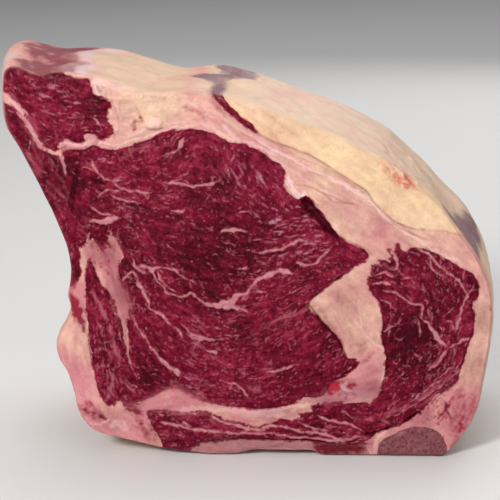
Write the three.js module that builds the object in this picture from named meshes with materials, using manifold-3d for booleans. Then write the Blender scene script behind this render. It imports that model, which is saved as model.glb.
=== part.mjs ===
// A raw beef rib roast, cut straight through on both sides and standing on its rib side
// with the fat cap up. Every muscle, fat layer and bone that shows on the cut faces is a
// solid of its own that runs through the depth. Millimetres, +Z up, X across the cut
// face, Y from the front cut face to the back one.
import * as THREE from "three";
import { mergeVertices } from "three/addons/utils/BufferGeometryUtils.js";
import Module from "manifold-3d";

const wasm = await Module();
wasm.setup();

// Driving dimensions
const depth = 110; // from cut face to cut face: two ribs
const frontY = -depth / 2;
const gap = 0.3; // between neighbouring pieces
const wallStep = 7.2; // spacing of the points round the outer wall
const edgeRings = [
  // rounded edge of a cut face: distance behind the face, inset of the wall
  [0, 1.5],
  [0.6, 0.4],
  [2.4, 0],
];
const wallBands = 6; // wall lengths between the two rounded edges
const faceRings = [0.75, 0.42]; // rings of points that carry a face's swelling
const muscleRise = 0.7; // muscle stands this far out of the cut face, past the fat
const cutterReach = 25; // a cutter runs this far past both faces

// The tail end was cut on the slant, so it grows longer and thicker towards the back.
const tailSlant = 21;
const tailThickening = 2;
// The muscles drift inside the roast by this much from the front face to the back one.
const drift = new THREE.Vector2(-6, 4);
const driftCentre = new THREE.Vector2(4, 92);
const driftReach = new THREE.Vector2(96, 74);

// Between the faces the outside bellies out, unevenly round the roast.
const belly = 2.4;
const bellyWave = new THREE.Vector2(24, 31); // lengths of the unevenness along X and Z

// Rib side: shallow troughs between the ribs under the membrane.
const ribPitch = 55;
const troughDepth = 2.6;
const troughFrom = -12;
const troughTo = 33;

// Swellings of the cut faces: centre x, centre z, radius, height.
const frontSwellings = [
  [-12, 92, 66, 2.2],
  [84, 62, 34, 1.6],
  [-90, 172, 24, 1.4],
  [50, 66, 16, -1.2],
  [52, 116, 18, -1.4],
  [-92, 52, 18, 1.2],
];
const backSwellings = [
  [-24, 96, 60, 1.8],
  [80, 60, 34, 2],
  [-102, 172, 26, 1.2],
  [30, 142, 22, -1.2],
];

// Outline of the cut face, clockwise from the lower corner of the tail: [x, z].
const faceOutline = [
  [-112.6, 163], [-113.9, 169], [-113.8, 185], [-112.4, 190.5], [-108.2, 192.6],
  [-96, 188.7], [-89, 189.3], [-79, 188.9], [-60, 183.9], [-50.5, 180.6], [-41, 178.4],
  [-21.5, 179.4], [35.5, 159.9], [54.5, 151], [64, 145.5], [83, 127.5], [92.5, 116.3],
  [102, 107.3], [108.5, 99.5], [115.2, 84], [113.4, 54], [110.1, 34], [107.6, 23.5],
  [103.4, 14.5], [97.6, 6.6], [92.2, 0.6], [84, 0], [-18, 0], [-42, 2.3], [-54, 4.8],
  [-76, 10.5], [-82.4, 14.7], [-86.6, 22], [-88.5, 32], [-91.6, 42], [-95.2, 49],
  [-96, 56], [-93.9, 63], [-89.9, 69], [-87.8, 75], [-88.7, 81], [-87, 89], [-86.6, 97],
  [-88.7, 107], [-96.2, 127], [-107.6, 153],
];

const eyeOutline = [
  [-85.5, 151.5], [-75, 152.8], [-71.3, 154.6], [-68, 153], [-62, 152], [-48.5, 155.6],
  [-36, 160.5], [-28, 161.2], [-20, 160.8], [-14, 158.8], [-8.3, 155.3], [-1.5, 153.9],
  [4, 152], [9, 149], [12, 146], [16, 144.5], [18.7, 140.5], [17.5, 137], [19.5, 131.5],
  [23, 127.8], [28, 129], [32.7, 124.3], [44, 108.8], [49.2, 105.5], [53, 103.9],
  [55.3, 102], [56.4, 99.7], [55.3, 97.4], [50, 94.6], [45, 91], [28, 76.6], [32, 70.5],
  [42, 59.5], [45.2, 50.6], [47, 49.4], [51, 49.3], [50.3, 46], [44.8, 40.9], [37, 36.5],
  [35, 32.6], [32.5, 30.8], [26.5, 30.2], [19, 26.8], [13, 25.4], [5.2, 24.4],
  [-18, 26.6], [-25.2, 28.6], [-35.5, 33.8], [-40, 34.5], [-45, 32.8], [-50, 29.8],
  [-60, 26.2], [-61, 29], [-59, 34], [-58, 40], [-59.9, 50.8], [-60.7, 62.7],
  [-58.3, 70.8], [-57.6, 76], [-61.2, 85.8], [-62.6, 91.5], [-62.5, 96.8], [-60.5, 99.9],
  [-60, 103.5], [-61.3, 107.3], [-64.5, 110.3], [-69, 104.8], [-71.2, 105.5],
  [-74.5, 109.2], [-77.5, 107.3], [-83, 105.2], [-84.8, 112], [-85.3, 128], [-87.5, 143],
  [-87.3, 148.5],
];

const capMuscleOutline = [
  [57.5, 95.6], [66, 98.4], [67.3, 101], [66.3, 103.6], [68.5, 103.8], [70.3, 105.9],
  [71.5, 103.3], [74, 102], [76.5, 103.8], [80, 104.2], [101, 93.6], [105.3, 90.8],
  [108, 86.8], [108.6, 83], [105.6, 76], [106.5, 72.5], [105.3, 61.8], [103.8, 58.5],
  [101, 48], [99, 43.5], [98.3, 38.8], [88, 30.5], [84, 25.8], [79.5, 22], [70.6, 16.2],
  [60.5, 12.7], [55.5, 12], [48, 17.5], [31, 20.8], [28.6, 23.5], [29, 26.5], [51, 27.6],
  [59.8, 30], [64.2, 50], [62.2, 61], [62.7, 66], [61.8, 76], [56.8, 84.5], [56.5, 88.5],
  [58, 92.3],
];

// Above and left of the roast the outlines below run on into the open, where the cut
// leaves nothing. Where one crosses an outline cut before it, only what is left counts.
const tailOutline = [
  [-135, 184], [-112, 179.8], [-109.2, 177], [-102, 167.5], [-99.5, 160], [-97.3, 156.9],
  [-94.5, 154], [-91.5, 152], [-89.5, 152.3], [-88.3, 155.6], [-86.3, 157.1],
  [-84, 157.6], [-79.4, 155.5], [-76.3, 155.4], [-75.6, 156.8], [-76.3, 158.5],
  [-75, 159.7], [-72, 159.8], [-70, 159], [-68.2, 157.2], [-62.5, 159.3], [-61.2, 161],
  [-62, 163], [-64, 164.7], [-65.4, 167.8], [-62.9, 174], [-69, 177], [-71.2, 179.8],
  [-71.4, 183], [-72.5, 185], [-78, 185.6], [-85, 188.8], [-88, 192], [-89, 210],
  [-145, 210],
];

const sideMuscleOutline = [
  [-135, 182], [-112.3, 174.6], [-109.8, 173.2], [-107.6, 171], [-105.4, 167.4],
  [-99.1, 154.6], [-96.3, 152.2], [-92.9, 150.4], [-84, 147], [-80, 130], [-80, 107],
  [-81.6, 104.6], [-81, 100], [-81.6, 96], [-81, 93], [-82.5, 89], [-84.5, 86.8],
  [-110, 86], [-150, 150],
];

const stripOutline = [
  [-76.5, 98], [-74.5, 95.5], [-71.5, 87.5], [-66.4, 80], [-65, 72], [-63, 68.5],
  [-62.1, 65], [-61.2, 54], [-58, 48], [-55, 38], [-58, 28], [-62.5, 25.8], [-65.5, 28],
  [-71.5, 25.8], [-73.5, 28], [-76.6, 37], [-77.4, 43], [-79.5, 85], [-79, 91], [-78, 95],
];

const ribMuscleOutline = [
  [-51.5, 22.9], [-46, 23.5], [-30, 21.9], [-25, 22.8], [-16.5, 19.6], [-1, 15.8],
  [4, 15.6], [13, 18.8], [18, 19], [27, 22.3], [34, 22], [50, 18], [60, 14], [57.8, 10.4],
  [52.5, 7.3], [44, 6.4], [28, 8], [-2, 8.6], [-12, 8.2], [-27, 6.2], [-31.5, 3],
  [-33, -8], [-43.5, -8], [-44.7, 3], [-47.4, 11], [-51, 18],
];

// A dark sliver of muscle that fills the upper end of the seam under the fat cap.
const seamMuscleOutline = [
  [-20, 200], [-17.2, 181], [-15, 177.5], [-6.8, 168], [2.5, 160.8], [6.4, 159],
  [3, 163.8], [-0.5, 166], [-7.5, 173.3], [-10.5, 177], [-12.5, 181], [-11, 200],
];

const boneOutline = [
  [59.5, -8], [59.8, 3], [61.2, 7.6], [64.5, 10.1], [73.6, 14.6], [79.7, 15.6],
  [85.6, 15.1], [89.1, 13.5], [91.3, 10.8], [92.6, 7.5], [93.1, 4], [93, -8],
];

// The seam: the lower edge of this outline parts the fat cap from the fat under it.
const fatCapOutline = [
  [-12, 210], [-14, 179], [-8, 171], [-3, 166], [6.4, 159], [13.8, 154.9], [31, 147.6],
  [52, 134], [56, 131.2], [59.7, 125.6], [71, 115.6], [79, 113], [96, 110.8],
  [108, 105.5], [130, 100], [130, 210],
];

const kernelOutline = [
  [20, 76], [30, 90], [50, 99], [56.8, 97.4], [66, 84], [72, 60], [66, 34], [60.8, 31.6],
  [40, 30.6], [35.4, 31], [30, 36], [25, 60],
];

const membraneOutline = [
  [-42, -8], [-42, 10], [40, 12], [53, 9.6], [54.6, 6], [54.6, -8],
];

// Torn openings in the cut faces: points along the opening, width, depth, face.
const crags = [
  { path: [[25.5, 126.2], [29.5, 122.5], [33.8, 117.6], [39, 112.6]], width: 6.5, deep: 10, face: -1 },
  { path: [[-84.2, 146.5], [-83.2, 138], [-83.6, 128], [-84.4, 119]], width: 4, deep: 8, face: -1 },
  { path: [[51, 11], [57, 12.2], [63, 14.2], [70, 16.4]], width: 1.6, deep: 5, face: -1 },
  { path: [[92.6, 27.4], [94.2, 23.5], [96.4, 18.5]], width: 1.6, deep: 5, face: -1 },
  { path: [[-76.2, 19.6], [-73.2, 18.6]], width: 3, deep: 5, face: -1 },
  { path: [[-6, 152.8], [2, 151.2], [9, 147.4]], width: 4.5, deep: 7, face: 1 },
  { path: [[46, 103], [52, 100], [58, 97]], width: 3.4, deep: 6, face: 1 },
];

const colours = {
  muscle: 0x7c1428,
  darkMuscle: 0x5e0c1c,
  creamFat: 0xe6c49c,
  pinkFat: 0xd9978a,
  membrane: 0xc07f85,
  bone: 0x87535b,
};

// Where a point of the front section lies at depth y: straight lines lead to the back.
function through(x, z, y) {
  const t = (y - frontY) / depth;
  const tail =
    THREE.MathUtils.smoothstep(-x, 72, 116) * THREE.MathUtils.smoothstep(z, 118, 160);
  const u = (x - driftCentre.x) / driftReach.x;
  const v = (z - driftCentre.y) / driftReach.y;
  const inner = Math.max(0, 1 - u * u - v * v) ** 2;
  return [
    x + t * (drift.x * inner - tailSlant * tail),
    z + t * (drift.y * inner + tailThickening * tail),
  ];
}

function solidOf(geometry) {
  geometry.deleteAttribute("normal");
  geometry.deleteAttribute("uv");
  const merged = mergeVertices(geometry, 1e-4);
  return new wasm.Manifold(
    new wasm.Mesh({
      numProp: 3,
      vertProperties: merged.attributes.position.array,
      triVerts: new Uint32Array(merged.index.array),
    }),
  );
}

function geometryOf(solid) {
  const mesh = solid.getMesh();
  return new THREE.BufferGeometry()
    .setAttribute("position", new THREE.BufferAttribute(mesh.vertProperties, 3))
    .setIndex(new THREE.BufferAttribute(mesh.triVerts, 1));
}

// Closed tube of rings, all with the same number of points, between two caps. Each cap
// is a fan, or has its own inner rings when given. Rings run clockwise seen from -Y.
function tubeOf(rings, frontCap, backCap) {
  const points = rings.flat();
  const faces = [];
  const n = rings[0].length;
  const band = (a, b) => {
    for (let i = 0; i < n; i++) {
      const j = (i + 1) % n;
      faces.push([a + i, b + j, b + i], [a + i, a + j, b + j]);
    }
  };
  for (let r = 0; r + 1 < rings.length; r++) band(r * n, (r + 1) * n);
  const close = (cap, edge, flip) => {
    let last = edge;
    for (const ring of cap.rings) {
      const start = points.length;
      points.push(...ring);
      if (flip) band(last, start);
      else band(start, last);
      last = start;
    }
    const hub = points.push(cap.hub) - 1;
    for (let i = 0; i < n; i++) {
      const j = (i + 1) % n;
      faces.push(flip ? [last + i, last + j, hub] : [last + j, last + i, hub]);
    }
  };
  close(frontCap, 0, false);
  close(backCap, (rings.length - 1) * n, true);
  const geometry = new THREE.BufferGeometry();
  geometry.setAttribute("position", new THREE.Float32BufferAttribute(points.flat(), 3));
  geometry.setIndex(faces.flat());
  return solidOf(geometry);
}

// The section's points moved outwards, by a distance that may depend on the point.
function grown(outline, distanceAt) {
  const n = outline.length;
  return outline.map(([x, z], i) => {
    const distance = distanceAt(x, z);
    const [ax, az] = outline[(i + n - 1) % n];
    const [bx, bz] = outline[(i + 1) % n];
    const back = new THREE.Vector2(x - ax, z - az).normalize();
    const ahead = new THREE.Vector2(bx - x, bz - z).normalize();
    const normal = new THREE.Vector2(-(back.y + ahead.y), back.x + ahead.x).normalize();
    const stretch = 1 / Math.max(0.5, normal.x * -ahead.y + normal.y * ahead.x);
    return [x + normal.x * distance * stretch, z + normal.y * distance * stretch];
  });
}

// Height of the rib side above the ground: troughs between the ribs.
function trough(x, z, y) {
  const across =
    THREE.MathUtils.smoothstep(x, troughFrom, troughFrom + 14) *
    (1 - THREE.MathUtils.smoothstep(x, troughTo - 6, troughTo));
  const along = 0.5 + 0.5 * Math.cos((2 * Math.PI * y) / ribPitch);
  return z < 1 ? troughDepth * across * along : 0;
}

// How far the outside stands out of the straight section at depth y.
function bellyAt(x, z, y) {
  const wave = 0.55 + 0.45 * Math.sin(x / bellyWave.x + y / depth) * Math.cos(z / bellyWave.y);
  const lifted = THREE.MathUtils.smoothstep(z, 4, 20);
  return belly * wave * lifted * Math.cos((Math.PI * y) / depth);
}

function swellingAt(swellings, x, z) {
  return swellings.reduce((sum, [cx, cz, radius, height]) => {
    const reach = Math.hypot(x - cx, z - cz) / radius;
    return sum + height * Math.max(0, 1 - reach * reach) ** 2;
  }, 0);
}

// The whole roast: the face outline carried through the depth, with rounded edges.
function wholeRoast() {
  const curve = new THREE.CatmullRomCurve3(
    faceOutline.map(([x, z]) => new THREE.Vector3(x, 0, z)),
    true,
  );
  const wall = curve
    .getSpacedPoints(Math.round(curve.getLength() / wallStep))
    .slice(1)
    .map((p) => [p.x, p.z < 0.4 ? 0 : p.z]);
  const ringAt = (y, inset) =>
    grown(wall, (x, z) => bellyAt(x, z, y) - inset).map(([x, z]) => {
      const [px, pz] = through(x, z, y);
      return [px, y, pz + trough(px, pz, y)];
    });
  const rings = edgeRings.map(([behind, inset]) => ringAt(frontY + behind, inset));
  const straight = frontY + edgeRings.at(-1)[0];
  for (let k = 1; k < wallBands; k++) {
    rings.push(ringAt(straight * (1 - (2 * k) / wallBands), 0));
  }
  rings.push(...edgeRings.map(([behind, inset]) => ringAt(-frontY - behind, inset)).reverse());

  const capOf = (edge, face, swellings) => {
    const centre = edge
      .reduce((sum, p) => sum.add(new THREE.Vector3(...p)), new THREE.Vector3())
      .divideScalar(edge.length);
    const place = (p, share) => {
      const x = THREE.MathUtils.lerp(centre.x, p[0], share);
      const z = THREE.MathUtils.lerp(centre.z, p[2], share);
      return [x, face * (depth / 2 + swellingAt(swellings, x, z)), z];
    };
    return {
      rings: faceRings.map((share) => edge.map((p) => place(p, share))),
      hub: place(edge[0], 0),
    };
  };
  return tubeOf(
    rings,
    capOf(rings[0], -1, frontSwellings),
    capOf(rings.at(-1), 1, backSwellings),
  );
}

// A section outline as a cutter that follows the roast's own lines through its depth.
function cutterOf(outline, growth = 0) {
  const given = outline.map(([x, z]) => new THREE.Vector2(x, z));
  const clockwise = THREE.ShapeUtils.isClockWise(given) ? outline : outline.toReversed();
  const section = grown(clockwise, () => growth).map(([x, z]) => new THREE.Vector2(x, z));
  const triangles = THREE.ShapeUtils.triangulateShape(section, []);
  const n = section.length;
  const points = [frontY - cutterReach, -frontY + cutterReach].flatMap((y) =>
    section.map((p) => {
      const [x, z] = through(p.x, p.y, y);
      return [x, y, z];
    }),
  );
  const faces = [];
  for (const corners of triangles) {
    const turned = THREE.ShapeUtils.isClockWise(corners.map((k) => section[k]));
    const [a, b, c] = turned ? corners.toReversed() : corners;
    faces.push([a, b, c], [c + n, b + n, a + n]);
  }
  for (let i = 0; i < n; i++) {
    const j = (i + 1) % n;
    faces.push([i, j + n, i + n], [i, j, j + n]);
  }
  const geometry = new THREE.BufferGeometry();
  geometry.setAttribute("position", new THREE.Float32BufferAttribute(points.flat(), 3));
  geometry.setIndex(faces.flat());
  return solidOf(geometry);
}

// A torn opening: a wedge along its path, widest at the cut face.
function cragCutter({ path, width, deep, face }) {
  const n = path.length;
  const outward = 4;
  const sides = path.map(([x, z], i) => {
    const [ax, az] = path[Math.max(0, i - 1)];
    const [bx, bz] = path[Math.min(n - 1, i + 1)];
    const along = new THREE.Vector2(bx - ax, bz - az).normalize();
    const taper = i === 0 || i === n - 1 ? 0.35 : 1;
    return [x, z, (-along.y * width * taper) / 2, (along.x * width * taper) / 2];
  });
  const y = face * (depth / 2);
  const rings = sides.map(([x, z, dx, dz]) => {
    const out = (outward + deep) / deep;
    const corners = [
      [x + dx * out, y + face * outward, z + dz * out],
      [x, y - face * deep, z],
      [x - dx * out, y + face * outward, z - dz * out],
    ];
    return corners.map(([cx, cy, cz]) => {
      const [px, pz] = through(cx, cz, face > 0 ? depth / 2 : frontY);
      return [px, cy, pz];
    });
  });
  const points = rings.flat();
  const faces = [[0, 1, 2], [3 * n - 1, 3 * n - 2, 3 * n - 3]];
  for (let r = 0; r + 1 < n; r++) {
    for (let i = 0; i < 3; i++) {
      const j = (i + 1) % 3;
      const [a, b, c, d] = [r * 3 + i, (r + 1) * 3 + i, (r + 1) * 3 + j, r * 3 + j];
      faces.push([a, b, c], [a, c, d]);
    }
  }
  const geometry = new THREE.BufferGeometry();
  geometry.setAttribute("position", new THREE.Float32BufferAttribute(points.flat(), 3));
  geometry.setIndex(faces.flat());
  const solid = solidOf(geometry);
  if (solid.volume() > 0) return solid;
  geometry.setIndex(faces.map(([a, b, c]) => [c, b, a]).flat());
  return solidOf(geometry);
}

const roast = new THREE.Group();

// The body's largest piece; scraps that a cut leaves loose are dropped.
function largest(solid) {
  return solid.decompose().sort((a, b) => b.volume() - a.volume())[0];
}

function addPiece(name, solid, colour, roughness, rise = 0) {
  const material = new THREE.MeshStandardMaterial({ color: colour, roughness, metalness: 0 });
  const mesh = new THREE.Mesh(geometryOf(largest(solid)), material);
  mesh.name = name;
  mesh.scale.y = 1 + (2 * rise) / depth;
  roast.add(mesh);
}

// Each piece is cut out of what the pieces before it have left, with the gap round it.
const cutOrder = [
  ["chine_bone", boneOutline, colours.bone, 0.6, 0.2],
  ["tail_muscle", tailOutline, colours.muscle, 0.4, muscleRise],
  ["eye_muscle", eyeOutline, colours.muscle, 0.4, muscleRise],
  ["cap_muscle", capMuscleOutline, colours.muscle, 0.4, muscleRise],
  ["rib_muscle", ribMuscleOutline, colours.muscle, 0.4, muscleRise],
  ["side_muscle", sideMuscleOutline, colours.muscle, 0.4, muscleRise],
  ["strip_muscle", stripOutline, colours.muscle, 0.4, muscleRise],
  ["seam_muscle", seamMuscleOutline, colours.darkMuscle, 0.4, -muscleRise],
  ["fat_cap", fatCapOutline, colours.creamFat, 0.45, 0],
  ["fat_kernel", kernelOutline, colours.pinkFat, 0.45, 0],
  ["rib_membrane", membraneOutline, colours.membrane, 0.35, 0],
];

let rest = wholeRoast();
for (const crag of crags) rest = rest.subtract(cragCutter(crag));
for (const [name, outline, colour, roughness, rise] of cutOrder) {
  addPiece(name, rest.intersect(cutterOf(outline)), colour, roughness, rise);
  rest = rest.subtract(cutterOf(outline, gap));
}

// What is left is fat: the layer over the muscles and the layer on the flank.
const [innerFat, flankFat] = rest.decompose().sort((a, b) => b.volume() - a.volume());
addPiece("inner_fat", innerFat, colours.pinkFat, 0.45);
addPiece("flank_fat", flankFat, colours.pinkFat, 0.45);

// The origin is the centre of the roast's base.
const box = new THREE.Box3().setFromObject(roast);
const centre = box.getCenter(new THREE.Vector3());
roast.position.set(-centre.x, -centre.y, -box.min.z);

export default roast;
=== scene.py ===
import math
import time

import bpy
import numpy as np
from mathutils import Matrix, Vector


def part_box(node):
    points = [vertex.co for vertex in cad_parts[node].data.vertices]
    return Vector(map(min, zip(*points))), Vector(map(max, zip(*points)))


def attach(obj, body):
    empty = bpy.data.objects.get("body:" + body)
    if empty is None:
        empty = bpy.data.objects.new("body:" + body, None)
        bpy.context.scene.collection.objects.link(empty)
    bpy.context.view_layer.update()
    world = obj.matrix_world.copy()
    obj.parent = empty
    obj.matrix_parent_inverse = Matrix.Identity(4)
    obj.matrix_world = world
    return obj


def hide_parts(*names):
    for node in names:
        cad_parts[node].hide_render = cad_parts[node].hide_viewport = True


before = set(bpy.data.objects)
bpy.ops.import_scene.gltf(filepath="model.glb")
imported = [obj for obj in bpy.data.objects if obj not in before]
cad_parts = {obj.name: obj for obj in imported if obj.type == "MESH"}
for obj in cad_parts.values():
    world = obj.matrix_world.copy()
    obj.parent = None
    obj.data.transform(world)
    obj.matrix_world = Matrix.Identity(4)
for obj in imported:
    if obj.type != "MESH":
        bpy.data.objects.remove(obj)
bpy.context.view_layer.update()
bpy.ops.object.select_all(action="DESELECT")
started = time.time()


def stage(text):
    print(f"[{time.time() - started:5.1f} s] {text}")


# The roast is modelled in straight section space, in millimetres: x across the cut face,
# z up and y through the roast. Each finished piece is then carried into the frame.
mm = 0.001

roast = {
    "halfDepth": 55.0,
    "overrun": 13.0,  # the raw form runs this far past each cut before it is sawn
    "wallSpacing": 0.9,
    "ringMarks": ((0, 5, 29, 96), (-68, -58, -39, 68)),  # ring numbers and their y
    "frontSpacing": 0.45,
    "backSpacing": 0.95,
    "sawReach": 5.0,
    "drift": (-6.0, 4.0),  # the muscles drift this far on their way to the back
    "driftCentre": (4.0, 92.0),
    "driftReach": (96.0, 74.0),
    "tailAcross": (72, 116),  # how far left and how high the tail begins and is full
    "tailUp": (118, 160),
    "tailSlant": 21.0,
    "tailThickening": 2.0,
    "belly": 2.4,
    "bellyWave": (24.0, 31.0),
    "ribPitch": 55.0,
    "troughDepth": 2.6,
    "troughFrom": -12.0,
    "troughTo": 33.0,
    "troughSlopes": (14.0, 6.0),
    # on the outside: height at the cut edge, more height further in, size and seed
    "lumps": ((0.5, 0.8, 21, 31), (0.15, 0.3, 7, 32), (0.1, 0, 2.8, 34)),
    "boneEdge": 59.72,  # where the bone's left side meets the ground
    "shoulder": (87.0, 124.0, 27.0, 3.4),  # a swelling in front: centre, radius, height
    "shoulderEnd": (-50, -8),  # where it fades out, along y
    "hollow": (113.0, 88.0, 30.0, -1.7),  # a hollow below it
    "edgeBehind": (-13.0, 0, 1, 2.6, 5),  # distances behind the cut edge, and how far
    "edgeInset": (6, 1.6, 0.85, 0.3, 0),  # the outside is drawn in at each
    "knifeReach": 76.0,
    "blockOverruns": 2.2,  # thickness of the block that each saw cut takes off
    "smoothAngle": 55.0,
    "unevenness": 0.4,  # of the pieces' outlines
}

# Outlines on the front cut face, clockwise: [x, z].
roastOutline = [
    (-112.6, 163), (-113.9, 169), (-113.8, 185), (-112.4, 190.5), (-108.2, 192.6),
    (-96, 188.7), (-89, 189.3), (-79, 188.9), (-60, 183.9), (-50.5, 180.6), (-41, 178.4),
    (-21.5, 179.4), (35.5, 159.9), (54.5, 151), (64, 145.5), (83, 127.5), (92.5, 116.3),
    (102, 107.3), (108.5, 99.5), (115.2, 84), (113.4, 54), (110.1, 34), (107.6, 23.5),
    (103.4, 14.5), (97.6, 6.6), (92.2, 0.6), (84, 0), (-18, 0), (-42, 2.3), (-54, 4.8),
    (-76, 10.5), (-82.4, 14.7), (-86.6, 22), (-88.5, 32), (-91.6, 42), (-95.2, 49),
    (-96, 56), (-93.9, 63), (-89.9, 69), (-87.8, 75), (-88.7, 81), (-87, 89), (-86.6, 97),
    (-88.7, 107), (-96.2, 127), (-107.6, 153),
]

# The pieces in the order in which they are cut; an outline may run on over what has
# already been cut away, or out into the open.
pieceOutlines = {
    "chine_bone": [
        (59.5, -14), (59.8, 3), (61.2, 7.6), (64.5, 10.1), (73.6, 14.6), (79.7, 15.6),
        (85.6, 15.1), (89.1, 13.5), (91.3, 10.8), (92.6, 7.5), (93.1, 4), (93, -14),
    ],
    "tail_muscle": [
        (-150, 184), (-112, 179.8), (-109.2, 177), (-102, 167.5), (-99.5, 160),
        (-97.3, 156.9), (-94.5, 154), (-91.5, 152), (-89.5, 152.3), (-88.3, 155.6),
        (-86.3, 157.1), (-84, 157.6), (-79.4, 155.5), (-76.3, 155.4), (-75.6, 156.8),
        (-76.3, 158.5), (-75, 159.7), (-72, 159.8), (-70, 159), (-68.2, 157.2),
        (-62.5, 159.3), (-61.2, 161), (-62, 163), (-64, 164.7), (-65.4, 167.8),
        (-62.9, 174), (-69, 177), (-71.2, 179.8), (-71.4, 183), (-72.5, 185),
        (-78, 185.6), (-85, 188.8), (-88, 192), (-89, 216), (-150, 216),
    ],
    "eye_muscle": [
        (-85.5, 151.5), (-75, 152.8), (-71.3, 154.6), (-68, 153), (-62, 152),
        (-48.5, 155.6), (-36, 160.5), (-28, 161.2), (-20, 160.8), (-14, 158.8),
        (-8.3, 155.3), (-1.5, 153.9), (4, 152), (9, 149), (12, 146), (16, 144.5),
        (18.7, 140.5), (17.5, 137), (19.5, 131.5), (23, 127.8), (28, 129), (32.7, 124.3),
        (44, 108.8), (49.2, 105.5), (53, 103.9), (55.3, 102), (56.4, 99.7), (55.3, 97.4),
        (50, 94.6), (45, 91), (28, 76.6), (32, 70.5), (42, 59.5), (45.2, 50.6),
        (47, 49.4), (51, 49.3), (50.3, 46), (44.8, 40.9), (37, 36.5), (35, 32.6),
        (32.5, 30.8), (26.5, 30.2), (19, 26.8), (13, 25.4), (5.2, 24.4), (-18, 26.6),
        (-25.2, 28.6), (-35.5, 33.8), (-40, 34.5), (-45, 32.8), (-50, 29.8), (-60, 26.2),
        (-61, 29), (-59, 34), (-58, 40), (-59.9, 50.8), (-60.7, 62.7), (-58.3, 70.8),
        (-57.6, 76), (-61.2, 85.8), (-62.6, 91.5), (-62.5, 96.8), (-60.5, 99.9),
        (-60, 103.5), (-61.3, 107.3), (-64.5, 110.3), (-69, 104.8), (-71.2, 105.5),
        (-74.5, 109.2), (-77.5, 107.3), (-83, 105.2), (-84.8, 112), (-85.3, 128),
        (-87.5, 143), (-87.3, 148.5),
    ],
    "cap_muscle": [
        (57.5, 95.6), (66, 98.4), (67.3, 101), (66.3, 103.6), (68.5, 103.8),
        (70.3, 105.9), (71.5, 103.3), (74, 102), (76.5, 103.8), (80, 104.2), (101, 93.6),
        (105.3, 90.8), (108, 86.8), (108.6, 83), (105.6, 76), (106.5, 72.5),
        (105.3, 61.8), (103.8, 58.5), (101, 48), (99, 43.5), (98.3, 38.8), (88, 30.5),
        (84, 25.8), (79.5, 22), (70.6, 16.2), (60.5, 12.7), (55.5, 12), (48, 17.5),
        (31, 20.8), (28.6, 23.5), (29, 26.5), (51, 27.6), (59.8, 30), (64.2, 50),
        (62.2, 61), (62.7, 66), (61.8, 76), (56.8, 84.5), (56.5, 88.5), (58, 92.3),
    ],
    "rib_muscle": [
        (-51.5, 22.9), (-46, 23.5), (-30, 21.9), (-25, 22.8), (-16.5, 19.6), (-1, 15.8),
        (4, 15.6), (13, 18.8), (18, 19), (27, 22.3), (34, 22), (50, 18), (60, 14),
        (57.8, 10.4), (52.5, 7.3), (44, 6.4), (28, 8), (-2, 8.6), (-12, 8.2),
        (-27, 6.2), (-31.5, 3), (-33, -14), (-43.5, -14), (-44.7, 3), (-47.4, 11),
        (-51, 18),
    ],
    "side_muscle": [
        (-150, 182), (-112.3, 174.6), (-109.8, 173.2), (-107.6, 171), (-105.4, 167.4),
        (-99.1, 154.6), (-96.3, 152.2), (-92.9, 150.4), (-84, 147), (-80, 130),
        (-80, 107), (-81.6, 104.6), (-81, 100), (-81.6, 96), (-81, 93), (-82.5, 89),
        (-84.5, 86.8), (-110, 86), (-160, 150),
    ],
    "strip_muscle": [
        (-76.5, 98), (-74.5, 95.5), (-71.5, 87.5), (-66.4, 80), (-65, 72), (-63, 68.5),
        (-62.1, 65), (-61.2, 54), (-58, 48), (-55, 38), (-58, 28), (-62.5, 25.8),
        (-65.5, 28), (-71.5, 25.8), (-73.5, 28), (-76.6, 37), (-77.4, 43), (-79.5, 85),
        (-79, 91), (-78, 95),
    ],
    "seam_muscle": [
        (-20, 206), (-17.2, 181), (-15, 177.5), (-6.8, 168), (2.5, 160.8), (6.4, 159),
        (3, 163.8), (-0.5, 166), (-7.5, 173.3), (-10.5, 177), (-12.5, 181), (-11, 206),
    ],
    "fat_cap": [
        (-12, 216), (-14, 179), (-8, 171), (-3, 166), (6.4, 159), (13.8, 154.9),
        (31, 147.6), (52, 134), (56, 131.2), (59.7, 125.6), (71, 115.6), (79, 113),
        (96, 110.8), (108, 105.5), (140, 98), (140, 216),
    ],
    "fat_kernel": [
        (20, 76), (30, 90), (50, 99), (56.8, 97.4), (58.2, 95), (66, 84), (72, 60),
        (66, 34), (60.8, 31.6), (40, 30.6), (35.4, 31), (30, 36), (25, 60),
    ],
    "rib_membrane": [
        (-42, -14), (-42, 10), (40, 12), (53, 9.6), (54.6, 6), (54.6, -14),
    ],
    "flank_fat": [
        (-160, 86), (-100, 90), (-84, 104), (-84, 114), (-50, 114), (-50, 60), (0, 40),
        (70, 36), (60.5, 29), (59, 20), (45, 10), (30, -14), (-160, -14),
    ],
}
remainder = "inner_fat"
labels = list(pieceOutlines) + [remainder]
muscles = [name for name in labels if name.endswith("muscle")]
slotOf = {name: "muscle" for name in muscles}
slotOf.update({
    "fat_cap": "cream_fat", "inner_fat": "pink_fat", "flank_fat": "pink_fat",
    "fat_kernel": "pink_fat", "rib_membrane": "membrane", "chine_bone": "bone",
})


def smoothStep(value, low, high):
    t = np.clip((value - low) / (high - low), 0, 1)
    return t * t * (3 - 2 * t)


def between(low, high, share):
    return low + (high - low) * share


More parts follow.
